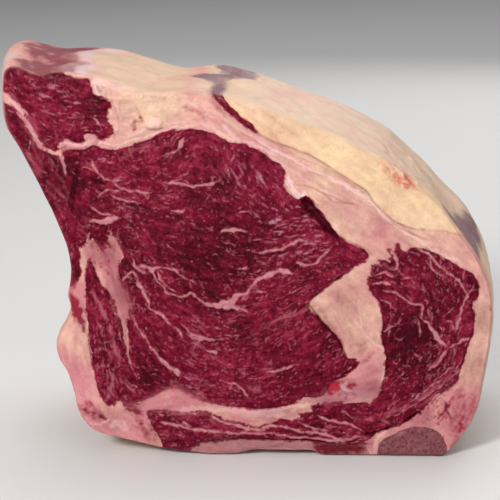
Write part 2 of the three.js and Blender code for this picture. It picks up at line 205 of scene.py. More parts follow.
# A smooth line through the points, with its own points evenly spaced. A third column,
# such as a width, is carried along.
def smoothCurve(points, spacing, closed=False):
    points = np.array(points, float)
    if closed:
        ends = np.vstack([points[-1:], points, points[:2]])
    else:
        ends = np.vstack([2 * points[0] - points[1], points, 2 * points[-1] - points[-2]])
    parts = []
    for p0, p1, p2, p3 in zip(ends, ends[1:], ends[2:], ends[3:]):
        k0 = 0
        k1 = k0 + max(math.dist(p0[:2], p1[:2]), 1e-3) ** 0.5
        k2 = k1 + max(math.dist(p1[:2], p2[:2]), 1e-3) ** 0.5
        k3 = k2 + max(math.dist(p2[:2], p3[:2]), 1e-3) ** 0.5
        steps = max(2, int(math.dist(p1[:2], p2[:2]) / spacing * 3))
        t = np.linspace(k1, k2, steps, endpoint=False)[:, None]
        a1 = ((k1 - t) * p0 + (t - k0) * p1) / (k1 - k0)
        a2 = ((k2 - t) * p1 + (t - k1) * p2) / (k2 - k1)
        a3 = ((k3 - t) * p2 + (t - k2) * p3) / (k3 - k2)
        b1 = ((k2 - t) * a1 + (t - k0) * a2) / (k2 - k0)
        b2 = ((k3 - t) * a2 + (t - k1) * a3) / (k3 - k1)
        parts.append(((k2 - t) * b1 + (t - k1) * b2) / (k2 - k1))
    parts.append(points[:1] if closed else points[-1:])
    line = np.vstack(parts)
    along = np.r_[0, np.cumsum(np.hypot(*np.diff(line[:, :2], axis=0).T))]
    count = max(2, round(along[-1] / spacing))
    even = np.linspace(0, along[-1], count, endpoint=not closed)
    return np.stack([np.interp(even, along, column) for column in line.T], 1)


def outlineNormals(line):
    ahead = np.roll(line, -1, 0) - np.roll(line, 1, 0)
    normal = np.stack([-ahead[:, 1], ahead[:, 0]], 1)
    return normal / np.linalg.norm(normal, axis=1)[:, None]


def scrambled(ix, iy, iz, seed):
    mix = ix * 73856093 ^ iy * 19349663 ^ iz * 83492791 ^ (seed * 40503 + 977) * 31337
    mix = ((mix ^ (mix >> 13)) & 0xFFFFFFFF) * 1274126177 & 0xFFFFFFFF
    mix = (mix ^ (mix >> 15)) * 668265263 & 0xFFFFFFFF
    return (mix >> 9 & 0xFFFF) / 32767.5 - 1


# Smooth noise from -1 to 1, one lump to a unit of its coordinates.
def softNoise(x, z, seed, y=None):
    turned = 0 if y is None else y
    x, z = 0.8 * x - 0.6 * z + 0.5 * turned, 0.6 * x + 0.8 * z - 0.4 * turned
    ix, iz = np.floor(x).astype(np.int64), np.floor(z).astype(np.int64)
    fx, fz = smoothStep(x - ix, 0, 1), smoothStep(z - iz, 0, 1)

    def layer(iy):
        low = scrambled(ix, iy, iz, seed) * (1 - fx) + scrambled(ix + 1, iy, iz, seed) * fx
        high = (scrambled(ix, iy, iz + 1, seed) * (1 - fx)
                + scrambled(ix + 1, iy, iz + 1, seed) * fx)
        return low * (1 - fz) + high * fz

    if y is None:
        return layer(np.int64(0))
    iy = np.floor(y).astype(np.int64)
    fy = smoothStep(y - iy, 0, 1)
    return layer(iy) * (1 - fy) + layer(iy + 1) * fy


# A sheet of cells over the section, on which the cut faces are painted before their
# values go to the vertices.
sheet = {
    "left": -150.0, "low": -8.0, "cell": 0.25, "columns": 1104, "rows": 880,
    "farthest": 16.0, "nowhere": -5000,
}
sheetX, sheetZ = np.meshgrid(
    sheet["left"] + sheet["cell"] * np.arange(sheet["columns"]),
    sheet["low"] + sheet["cell"] * np.arange(sheet["rows"]),
)


def sample(field, x, z):
    u = np.clip((x - sheet["left"]) / sheet["cell"], 0, sheet["columns"] - 1.001)
    v = np.clip((z - sheet["low"]) / sheet["cell"], 0, sheet["rows"] - 1.001)
    i, j = u.astype(int), v.astype(int)
    u, v = u - i, v - j
    low = field[j, i] * (1 - u) + field[j, i + 1] * u
    high = field[j + 1, i] * (1 - u) + field[j + 1, i + 1] * u
    return low * (1 - v) + high * v


def filled(outline):
    crossings = np.zeros((sheet["rows"], sheet["columns"] + 1), int)
    for (x1, z1), (x2, z2) in zip(outline, np.roll(outline, -1, 0)):
        low, high = sorted((z1, z2))
        first = max(0, math.ceil((low - sheet["low"]) / sheet["cell"]))
        last = min(sheet["rows"], math.ceil((high - sheet["low"]) / sheet["cell"]))
        if last <= first:
            continue
        rows = np.arange(first, last)
        z = sheet["low"] + rows * sheet["cell"]
        x = x1 + (z - z1) / (z2 - z1) * (x2 - x1)
        columns = np.ceil((x - sheet["left"]) / sheet["cell"])
        crossings[rows, np.clip(columns, 0, sheet["columns"]).astype(int)] += 1
    return np.cumsum(crossings, 1)[:, :-1] % 2 == 1


# The part of the sheet within reach of a point, as rows and columns.
def windowAt(x, z, reach, spare=0):
    slices = []
    for centre, start, count in ((z, sheet["low"], "rows"), (x, sheet["left"], "columns")):
        first = max(0, int((centre - reach - start) / sheet["cell"]))
        last = min(sheet[count], int((centre + reach - start) / sheet["cell"]) + spare)
        slices.append(slice(first, max(first, last)))
    return tuple(slices)


# Where the values change from one cell to the next.
def changesIn(values):
    changes = np.zeros(values.shape, bool)
    changes[:, :-1] |= values[:, :-1] != values[:, 1:]
    changes[:-1, :] |= values[:-1, :] != values[1:, :]
    return changes


# Distance in millimetres to the nearest marked cell, good to about the farthest.
def distanceTo(marked):
    rows, columns = np.indices(marked.shape, dtype=np.int32)
    nearRow = np.where(marked, rows, sheet["nowhere"]).astype(np.int32)
    nearColumn = np.where(marked, columns, sheet["nowhere"]).astype(np.int32)
    best = (nearRow - rows) ** 2 + (nearColumn - columns) ** 2
    around = [(down, right) for down in (-1, 0, 1) for right in (-1, 0, 1) if down or right]
    for jump in (32, 16, 8, 4, 2, 1):
        for down, right in around:
            shift = (down * jump, right * jump)
            otherRow = np.roll(nearRow, shift, (0, 1))
            otherColumn = np.roll(nearColumn, shift, (0, 1))
            other = (otherRow - rows) ** 2 + (otherColumn - columns) ** 2
            closer = other < best
            best = np.where(closer, other, best)
            nearRow = np.where(closer, otherRow, nearRow)
            nearColumn = np.where(closer, otherColumn, nearColumn)
    return np.minimum(np.sqrt(best) * sheet["cell"], sheet["farthest"])


# The pieces' outlines, smoothed and made a little uneven.
smoothOutlines = {}
for index, (name, outline) in enumerate(pieceOutlines.items()):
    line = smoothCurve(outline, 1.0, closed=True)
    sway = softNoise(line[:, 0] / 2.3, line[:, 1] / 2.3, 40 + index)
    smoothOutlines[name] = line + outlineNormals(line) * (roast["unevenness"] * sway)[:, None]
roastLine = smoothCurve(roastOutline, roast["wallSpacing"], closed=True)
roastLine[:, 1] = np.where(roastLine[:, 1] < 0.4, 0, roastLine[:, 1])

insideRoast = filled(roastLine)
region = np.full(insideRoast.shape, labels.index(remainder))
free = np.ones(insideRoast.shape, bool)
for index, line in enumerate(smoothOutlines.values()):
    taken = filled(line) & free
    region[taken] = index
    free &= ~taken
tissueKinds = np.array([
    0 if name in ("inner_fat", "flank_fat", "fat_kernel") else index
    for index, name in enumerate(labels)
]) + 1
border = distanceTo(changesIn(tissueKinds[region]))  # to the next kind of tissue
rim = distanceTo(~insideRoast)  # to the outside, from within
inMuscle = np.isin(region, [labels.index(name) for name in muscles])
toMeat = distanceTo(changesIn(inMuscle))  # to where meat and fat meet
muscleShare = np.where(inMuscle, 0.5 + border / 1.6, 0.5 - border / 1.6).clip(0, 1)
stage("regions laid out")


flowSoftness = 30.0
# Direction of the marbling: x, z, degrees up from the X axis.
flowMarks = np.array([
    (-62, 145, -20), (-46, 137, -8), (-38, 156, 35), (-28, 151, 45), (-5, 146, -60),
    (9, 146, -65), (16, 130, -55), (20, 113, 8), (-46, 121, -8), (-23, 116, -30),
    (-4, 113, -28), (-57, 106, -45), (-66, 121, -15), (10, 96, 13), (24, 103, 12),
    (-23, 96, -25), (-9, 89, -25), (-43, 79, -40), (-24, 66, -42), (-56, 59, -72),
    (-5, 79, 5), (9, 66, 30), (24, 84, 32), (33, 56, 45), (-50, 40, -45), (-16, 36, -20),
    (13, 39, 10), (-1, 54, 15), (67, 91, -30), (95, 79, -75), (99, 59, 60), (85, 44, 45),
    (71, 64, 70), (71, 29, 35), (47, 21, -8), (-72, 69, -80), (-72, 44, -82),
    (-86, 181, -10), (-99, 171, -15), (-97, 152, -60), (-89, 123, -65), (-26, 13, -4),
    (22, 11, -4),
    # the fat
    (-45, 172, -5), (-20, 165, -22), (2, 157, -38), (26, 141, -34), (48, 121, -38),
    (40, 148, -27), (76, 127, -45), (98, 106, -30), (109, 84, -85), (108, 50, 85),
    (103, 24, 60), (50, 70, -60), (-66, 96, -80), (-62, 76, -78), (-92, 58, 88),
    (-84, 36, -75), (-74, 16, -35), (-48, 28, 18), (-15, 24, -6), (20, 25, 6), (48, 31, 12),
    (-105, 165, -60), (-80, 154, 5), (0, 4, 0),
])


def flowAt(x, z):
    cosines, sines = 0, 0
    for markX, markZ, degrees in flowMarks:
        weight = 1 / ((x - markX) ** 2 + (z - markZ) ** 2 + flowSoftness) ** 1.5
        cosines = cosines + weight * math.cos(2 * math.radians(degrees))
        sines = sines + weight * math.sin(2 * math.radians(degrees))
    return np.arctan2(sines, cosines) / 2


flow = flowAt(sheetX, sheetZ)


# Noise drawn out along the marbling, from about -1 to 1.
def grainNoise(size, reach, seed):
    plain = softNoise(sheetX / size, sheetZ / size, seed)
    total = np.zeros(plain.shape)
    steps = np.linspace(-reach, reach, 9)
    for step in steps:
        total += sample(plain, sheetX + step * np.cos(flow), sheetZ + step * np.sin(flow))
    return total / (np.std(total) * 2)


brush = {"step": 0.3, "taper": 2.5, "tip": 0.35, "sway": 0.4}


# Painting: a dab raises the field to its radius less the distance.
def dab(field, x, z, radius, reach=1.0, strength=None, soft=0.3):
    window = windowAt(x, z, radius + reach, 2)
    value = radius - np.sqrt((sheetX[window] - x) ** 2 + (sheetZ[window] - z) ** 2)
    if strength is not None:
        value = np.clip(value / soft + 0.5, 0, 1) * strength
    field[window] = np.maximum(field[window], value)


def stroke(field, width, points, reach=1.0, strength=None, soft=0.3, swell=0.3):
    rows = [(*point[:2], point[2] if len(point) > 2 else width) for point in points]
    path = smoothCurve(rows, brush["step"])
    order = np.arange(len(path))
    fromEnd = np.minimum(order, order[::-1]) * brush["step"]
    narrowing = brush["tip"] + (1 - brush["tip"]) * np.clip(fromEnd / brush["taper"], 0, 1)
    sway = softNoise(path[:, 0] / 2.1, path[:, 1] / 2.1, 5) * brush["sway"]
    swelling = 1 + swell * softNoise(path[:, 0] / 1.8, path[:, 1] / 1.8, 6)
    for (x, z, wide), thin, side, fat in zip(path, narrowing, sway, swelling):
        dab(field, x + side, z - side, wide * thin * fat / 2, reach, strength, soft)


# The large veins of fat in the muscles: width, then points, a third value being the
# width there.
veins = [
    (1.1, [(-72.8, 147.3, 2), (-70.2, 141.5), (-67.5, 138.6), (-63.7, 137.6), (-58.9, 138, 1.8)]),
    (0.8, [(-78.7, 143.5), (-74.9, 143.9), (-71.2, 141.5)]),
    (1.0, [(-63.7, 136.6), (-60, 134.2), (-55.3, 132.7), (-50.6, 132.2), (-44.9, 131.2, 1.8)]),
    (1.0, [(-70.9, 128.5), (-68.8, 131.4), (-65.4, 132.8), (-60.1, 133.2)]),
    (0.9, [(-65.4, 131.4), (-60.3, 128.4), (-55.6, 127.4), (-50.8, 126.9)]),
    (2.6, [(-29, 157.2), (-30.4, 153.6), (-32, 151.3)]),
    (1.7, [(-31.6, 151.6), (-34.6, 150.4), (-37.4, 150.1)]),
    (1.0, [(-33.6, 150.6), (-34.9, 148.2), (-35.9, 146.1)]),
    (1.2, [(-40.9, 135.9, 0.8), (-35.1, 136.2), (-31.4, 135.8), (-24.3, 134.3), (-17.1, 135.7),
           (-11.6, 136.7)]),
    (0.9, [(-17.1, 135.7), (-15.4, 137.5), (-15.6, 139)]),
    (0.9, [(-19.5, 128), (-17, 130.5)]),
    (1.0, [(-7, 145.5), (-4.5, 149.5)]),
    (2.6, [(-75.8, 117.9, 1.4), (-71.5, 117.8, 2.6), (-66.6, 118.2), (-62.7, 119.7),
           (-60.8, 119.2, 1)]),
    (1.1, [(-74.4, 125.2), (-71.2, 122.2), (-68.4, 121.2), (-64.5, 120.7, 2)]),
    (1.1, [(-56, 118.2), (-54.1, 116.8)]),
    (1.4, [(-36.6, 123.1), (-32.8, 122.9), (-28.5, 122.8)]),
    (1.1, [(-61.2, 88.6), (-58.6, 91.6), (-55.3, 92.8), (-53.5, 88.9, 1.8)]),
    (1.8, [(-54.2, 88.7), (-51.5, 84.5), (-47.4, 74, 0.9)]),
    (1.2, [(-54, 95.8, 0.8), (-50.4, 96.2), (-47.6, 95.2), (-46.2, 93.6, 2.2), (-44.8, 94.6, 1.8),
           (-42.6, 95.4, 1.3), (-38.7, 95, 1.2), (-35.4, 94.8), (-34, 92.7), (-32.2, 90.2, 0.8)]),
    (0.9, [(-46.2, 94, 2), (-45.4, 91.4, 1.2), (-43.9, 88.6), (-41.5, 86.2), (-40.7, 83.9),
           (-36.9, 81.9), (-33.5, 80.8, 1.2), (-31, 82), (-28.1, 83.2)]),
    (0.8, [(-34.2, 92.8), (-30.6, 90.4), (-27.4, 89.4), (-24.6, 87.4)]),
    (2.0, [(-31.4, 81, 1), (-28.1, 83, 1.3), (-24.9, 80.5, 1.2), (-20.8, 78, 1.8),
           (-16.8, 77.2, 2.4), (-12.9, 77.4, 3), (-9, 78.8, 3.6), (-6.2, 81.6, 2.6),
           (-1.4, 82.9, 1.5), (0.7, 85, 1.2), (3.6, 88.6, 1.6), (7.6, 91.1, 2),
           (11.4, 92.7, 2.2), (16.2, 93.4, 2.8), (20.8, 92.4, 3)]),
    (3.2, [(-15, 76.8, 1.4), (-11.2, 76, 3.4), (-7, 76, 3), (-4.4, 75, 1.6), (-1.7, 73.9, 1.6),
           (1.3, 72.8, 1)]),
    (0.9, [(-6.4, 76.2), (-3.4, 76.6), (-1.8, 75.6)]),
    (1.0, [(1.2, 83.7), (8.5, 83.1)]),
    (1.3, [(5.2, 102.7, 3), (7.7, 102.7), (13.7, 104), (19.8, 105.7), (24.2, 108.2),
           (27.7, 108.2)]),
    (1.2, [(22.7, 97.3, 3), (27, 96.3), (31.7, 97.2), (34.7, 100.2), (38.2, 103.8)]),
    (1.6, [(-13, 112.5), (-9.3, 113.7), (-0.5, 113)]),
    (0.9, [(-13, 108.3), (-7.8, 107)]),
    (1.0, [(-4.5, 121.7), (-1, 122.2), (2, 121)]),
    (1.0, [(-5.2, 94.7), (0.7, 95.3)]),
    (1.4, [(-48.5, 75.2), (-45.6, 73.3), (-42.6, 72), (-38, 67)]),
    (1.3, [(-33.5, 68.3), (-29.3, 63.3), (-24, 60.8, 1.8), (-17, 59.5)]),
    (1.1, [(-57, 72), (-55, 66), (-51.6, 61), (-48.2, 55), (-45, 50.4, 1.6), (-42, 47.4, 2.6),
           (-39.3, 44.8, 2), (-36.5, 43.4, 3), (-35.4, 41, 1.4)]),
    (1.6, [(-60.4, 66), (-60, 56), (-59.3, 48, 1), (-57, 40, 0.6)]),
    (0.9, [(-30.9, 62.5), (-26.1, 60), (-23.2, 60), (-16.4, 59)]),
    (0.8, [(-24.2, 60), (-26.2, 57.5), (-28.3, 54)]),
    (1.0, [(7.3, 43), (11.6, 43.5), (15, 45), (21.8, 46.5)]),
    (1.0, [(-13.3, 37.9), (-9.4, 37.4), (-6.1, 35.3), (-1.4, 29.8)]),
    (0.8, [(-9.4, 37.4), (-11, 33.8)]),
    (1.5, [(-21.5, 54.5), (-17.3, 52.7), (-16.5, 50.8)]),
    (1.1, [(-77.8, 105), (-77, 110), (-75.8, 113)]),
    (1.2, [(-66.4, 106), (-65.4, 111), (-65.8, 114)]),
    (1.2, [(-49, 92, 0.8), (-52, 94), (-55, 97), (-55.6, 100)]),
    (1.0, [(-43.5, 94), (-42.6, 90.6), (-39.2, 86), (-33.4, 82.6)]),
    (1.0, [(-38, 67), (-34.6, 64.4), (-33, 60)]),
    # crescent on the right
    (1.2, [(79.7, 103.3), (85.3, 100.6), (88.1, 96.7), (93.4, 91.9), (97.4, 89.2), (100.4, 85.3),
           (102.3, 81.2, 1.5), (99.9, 75.1), (99, 70.7), (96.9, 63.4, 1.5)]),
    (0.9, [(102.3, 81.4), (104.8, 83.1), (107.6, 83.4)]),
    (0.9, [(85.8, 99.9), (85.7, 94.6), (89, 91.7), (92.7, 89.7)]),
    (0.8, [(96.5, 63.4), (95.1, 67.8), (92.2, 69.8)]),
    (1.0, [(63, 83.5), (68.9, 82.3), (73.5, 79.2), (77, 76.8), (81, 76.8), (81.7, 73.7),
           (81, 70.8), (84, 67.6, 1.5), (86.9, 63.9, 2.2), (89.9, 59, 2.3), (93.4, 56, 1.8)]),
    (1.2, [(93.4, 56), (96.9, 56.5), (100.5, 59), (103.5, 60.2)]),
    (1.2, [(93.4, 55.3), (89.9, 50.3), (86.3, 46.1), (82.8, 44.1, 0.8)]),
    (0.9, [(63.5, 62.9), (66.4, 65.9, 1.3), (69.2, 66.6)]),
    (0.7, [(65.4, 61), (66.4, 65.9), (65.5, 68.3)]),
    (0.8, [(68.2, 60.5), (71.1, 59), (73.9, 61)]),
    (0.7, [(69.1, 56), (70.6, 59)]),
    (0.8, [(77.2, 53.5), (78.6, 52.1), (80, 50.1)]),
    (0.8, [(79.4, 70), (80, 66.4), (80.5, 61.4, 1.5)]),
    (1.9, [(92.2, 66.8, 1), (91.5, 64.6)]),
    (1.5, [(65.5, 100.5), (67.8, 101.9), (69.9, 98.5), (69.7, 94.6), (67.8, 93.2)]),
    (1.1, [(71.3, 89), (74.8, 89.5), (77.7, 90.3)]),
    (1.7, [(71.7, 86.9), (73.1, 86.4)]),
    (1.2, [(58.3, 86.6), (64.2, 87.2), (67.7, 85.9)]),
    (1.0, [(60, 90.8), (63.8, 92.3), (68.5, 89.8)]),
    (0.9, [(62, 79), (66, 77.2), (70, 74)]),
    (0.8, [(99.3, 44.2), (89.9, 36.7), (80.4, 29.1), (73.2, 24), (62.4, 20.2)]),
    (0.7, [(97.4, 47.1), (88.9, 40.1), (82.3, 33.6), (75.6, 28.1)]),
    (0.9, [(99.3, 72.7), (96.5, 70.8)]),
    # flat muscle along the base
    (1.3, [(-45.9, 17.6), (-31.2, 14.6), (-11.7, 12), (4, 12.2), (17.6, 10.6), (37, 8.8),
           (46.6, 8.2)]),
    (1.1, [(-22, 21), (-14, 17.5), (-3, 14.2), (6, 14)]),
    (0.9, [(-36, 19), (-33, 16.5), (-30.4, 14.6)]),
    (1.4, [(4, 15), (14, 15.6), (22, 13.2), (33.6, 12.1), (42.8, 8.9), (52, 10.9)]),
    (1.5, [(30.7, 21.3), (36.7, 18.8), (46, 16.8), (52, 13.5)]),
    (1.0, [(22, 17.5), (30, 14.5), (38, 13.4)]),
    (1.0, [(43, 24), (47, 20.5), (48, 19.8)]),
    # side and tail
    (1.6, [(-88, 150.8, 2.4), (-86.5, 146), (-85.8, 139, 0.9)]),
    (1.3, [(-103.6, 192.5, 1), (-102, 191.4, 2)]),
    (1.0, [(-80.6, 170), (-76, 169.3)]),
    (1.2, [(-72, 167.6), (-69.5, 166), (-67.6, 162.6)]),
    (1.0, [(-96, 166), (-93.5, 163.5)]),
    (0.9, [(-85, 176.5), (-82.5, 178.4)]),
    # two painted glints on the meat, drawn as short veins
    (1.4, [(-36, 97), (-34.8, 96.8)]),
    (1.1, [(-8.3, 96), (-7.4, 96.2)]),
]

# Blurred veins: width, strength, points.
softVeins = [
    (2.4, 0.4, [(-104.2, 152.4), (-98.1, 140.8), (-92.7, 135), (-85.4, 128.2)]),
    (1.8, 0.5, [(-94.6, 152.3), (-90.3, 142.7), (-86, 134), (-84.5, 126.2)]),
    (1.6, 0.4, [(-95.6, 135), (-91.2, 127.3), (-87.9, 118.5)]),
    (1.5, 0.4, [(-102, 157.2), (-97.7, 147.6), (-94.2, 141.8)]),
    (1.3, 0.4, [(-84, 107), (-84.8, 99), (-84.4, 91)]),
    (1.5, 0.95, [(-76.1, 84), (-72.6, 76.5), (-70, 70), (-67.4, 63), (-66.7, 58), (-64.1, 49.9)]),
    (1.3, 0.8, [(-75.5, 59), (-70.6, 58), (-66.7, 58.5)]),
    (1.3, 0.8, [(-76.8, 52.9), (-72.7, 54.9), (-69, 51.9), (-70.2, 46.8), (-75.2, 45.8)]),
    (1.2, 0.8, [(-67.9, 53.9), (-64.1, 49.9), (-65.4, 44.8)]),
    (1.7, 1.0, [(-69.4, 43.8), (-67.6, 39.7), (-69.9, 33.6), (-72.1, 28.5)]),
    (1.5, 0.9, [(-67.6, 39.7), (-61.8, 36.7), (-58.1, 32.6)]),
    (2.6, 0.55, [(6, 67.4), (12.8, 70.4), (19, 72.4), (27.2, 74.8)]),
    (2.2, 0.35, [(-8, 58), (4, 64), (14, 72)]),
    (2.0, 0.35, [(-4, 55), (8, 61), (20, 70)]),
    (1.4, 0.5, [(93.7, 37.2), (86.1, 31.1), (77.5, 24.1)]),
    (1.8, 0.4, [(96, 44), (86, 35), (74, 26), (62, 22)]),
    (1.6, 0.4, [(66, 17.4), (52, 20), (38, 23)]),
    (2.0, 0.5, [(-110.5, 180), (-104, 171), (-99, 160), (-94, 152)]),
    (2.6, 0.4, [(-78, 186), (-88, 186), (-98, 188)]),
    (3.0, 0.35, [(-60, 148), (-52, 152), (-42, 155)]),
]

# Dark lines in both cut faces, carved to their depth and painted dark in the grooves as painted
# shade: width, depth, points.
shadedCracks = [
    (4.2, 2.6, [(25.4, 128, 1.4), (28.8, 124.4, 3.8), (32.4, 120.2, 4.6), (36, 115.8, 4),
                (39.8, 111.4, 2.4), (43.2, 108, 1)]),
    (2.6, 1.2, [(-80.4, 145, 1.4), (-80.6, 139), (-82.7, 133), (-84, 127), (-83.3, 121, 1)]),
    (1.0, 1.4, [(52, 10.9), (61.2, 13.4), (70.5, 16.9), (80, 23.5)]),
    (1.6, 1.6, [(91.8, 29, 0.8), (92.8, 26.4), (92.6, 24), (94.6, 21, 1), (95.4, 17.6, 0.6)]),
    (1.8, 2.0, [(-76.2, 19.6), (-73.4, 18.8)]),
    (0.9, 0.9, [(-30, 6.4), (-6.9, 8.9), (11.7, 8.4), (27.3, 8.6), (39.4, 6.6), (57, 6)]),
    (0.6, 0.7, [(6.4, 159), (13.8, 155), (31, 147.7), (52, 134), (56, 131.2),
                (59.7, 125.6), (71, 115.6), (79, 113)]),
    (0.5, 0.5, [(79, 113), (92.6, 111.6), (99.2, 109.8), (104.3, 106.6)]),
    (0.6, 0.6, [(25.3, 134.7), (33.5, 131.5), (41.2, 126), (51.3, 124.7)]),
    (0.6, 0.6, [(64.3, 121), (69, 115), (77, 110.6), (86.7, 106.8)]),
    (0.6, 0.6, [(-93.9, 174.6), (-92.9, 171.7), (-90.6, 169.8)]),
    (2.6, 1.2, [(-70.3, 176.5, 1), (-66.6, 175.4), (-63.6, 175.6, 1)]),
    (0.5, 0.5, [(-62.1, 179.2), (-61.8, 175.5), (-59.3, 168.9), (-58.7, 162.3), (-61.7, 158)]),
    (0.4, 0.3, [(-57, 177.3), (-58.3, 170.7), (-57.5, 166)]),
    (0.4, 0.3, [(-62.5, 180.2), (-57.7, 182.4), (-52.9, 183.7)]),
    (0.4, 0.25, [(-37.3, 175.1), (-35.3, 178.3), (-31.6, 177.8), (-30.3, 174.5), (-32.8, 170.8)]),
    (1.2, 0.7, [(-46.4, 161.6), (-42, 161), (-38, 162.2)]),
    (0.8, 0.9, [(-75.5, 171.5), (-72, 171), (-68.5, 172.6)]),
    (0.5, 0.5, [(-49.4, 170.2), (-48, 166.8), (-48.6, 164.9)]),
    (0.9, 0.7, [(-48.9, 166), (-48.2, 164.9)]),
    (0.9, 0.7, [(-52.4, 162.6), (-51.6, 161.7)]),
    (0.4, 0.4, [(-50, 181), (-47, 178.5), (-47.6, 174.8)]),
    # the eye muscle's shadow on the kernel, painted along its left edge
    (1.2, 1.0, [(27.6, 77.5), (33, 69.5), (38.5, 63), (42.6, 57), (45.4, 50.8)]),
    (0.6, 0.5, [(46, 92.6), (38, 86), (30, 79)]),
    (0.4, 0.3, [(41.4, 85), (42.8, 80), (42.2, 76)]),
    (0.4, 0.3, [(46.4, 74), (47.4, 68), (50.2, 65.6)]),
    (0.7, 0.7, [(33, 57), (34, 47), (33, 38)]),
    (0.6, 0.6, [(44, 108.8), (50, 105.6), (56, 101), (56.6, 98.5)]),
    (0.6, 0.5, [(-22, 157), (-15, 156), (-9, 152)]),
    (0.7, 0.6, [(2, 150), (1, 145), (3, 140)]),
]

# Raised strands and flaps on the front face: width, height, points.
strands = [
    (4.2, 1.5, [(-89.7, 153), (-85.7, 155.4), (-79.7, 154.4), (-74.5, 154.6),
                (-71, 157), (-73, 158.6)]),
    (1.6, 0.9, [(17.5, 138.5), (21.3, 131.5), (25.2, 128), (28, 129.8)]),
    (1.4, 0.8, [(55.9, 59.7), (59.9, 56.5), (63, 54), (64.2, 49.1), (62.6, 39.3),
                (60.9, 34.2)]),
    (4.4, 1.3, [(-47.6, 163, 2.6), (-44.6, 164.4), (-41.4, 165, 5), (-38.4, 164.6, 2.6)]),
    (3.0, 1.1, [(-42, 162.6), (-39.6, 163.2)]),
    (3.4, 1.0, [(-71, 182.6, 2), (-69, 183.6), (-66, 182.8, 3.8), (-63.4, 181.4, 2)]),
    (3.6, 1.2, [(-69.4, 181.6), (-68.6, 179), (-66.8, 177, 2)]),
    (2.6, 0.9, [(-66.8, 181.4), (-65.2, 178.8), (-65.4, 177)]),
    (3.0, 0.6, [(-49.7, 180.9), (-47, 178.5), (-48.1, 175.7)]),
    (4.4, 1.3, [(43.7, 36), (46.1, 35.6), (48.9, 35)]),
    (1.4, 0.3, [(-80.7, 16.6), (-75.7, 16.1), (-71.1, 18.2)]),
    (1.0, 0.4, [(51.9, 78.7), (53, 66), (55.9, 59.7)]),
    (1.8, 1.0, [(65.5, 142), (68.6, 139.6), (71.4, 136), (75.6, 134.4)]),
    (1.5, 1.0, [(70.4, 141.4), (74.6, 140.4), (79, 136.5)]),
    (1.6, 0.9, [(73, 133.4), (77, 133), (81, 131.6), (82, 129.6)]),
    (1.3, 1.1, [(68.5, 142.5), (73, 138), (78, 135.4)]),
    (1.1, 0.8, [(63.4, 140.4), (66.6, 136.6), (70, 136.4)]),
    (1.0, 0.4, [(-68.8, 155.4), (-61.5, 154.1), (-53.3, 156)]),
    (1.4, 0.5, [(-2, 160), (14, 150.4), (34, 139.6), (52, 127.5), (60, 123)]),
]

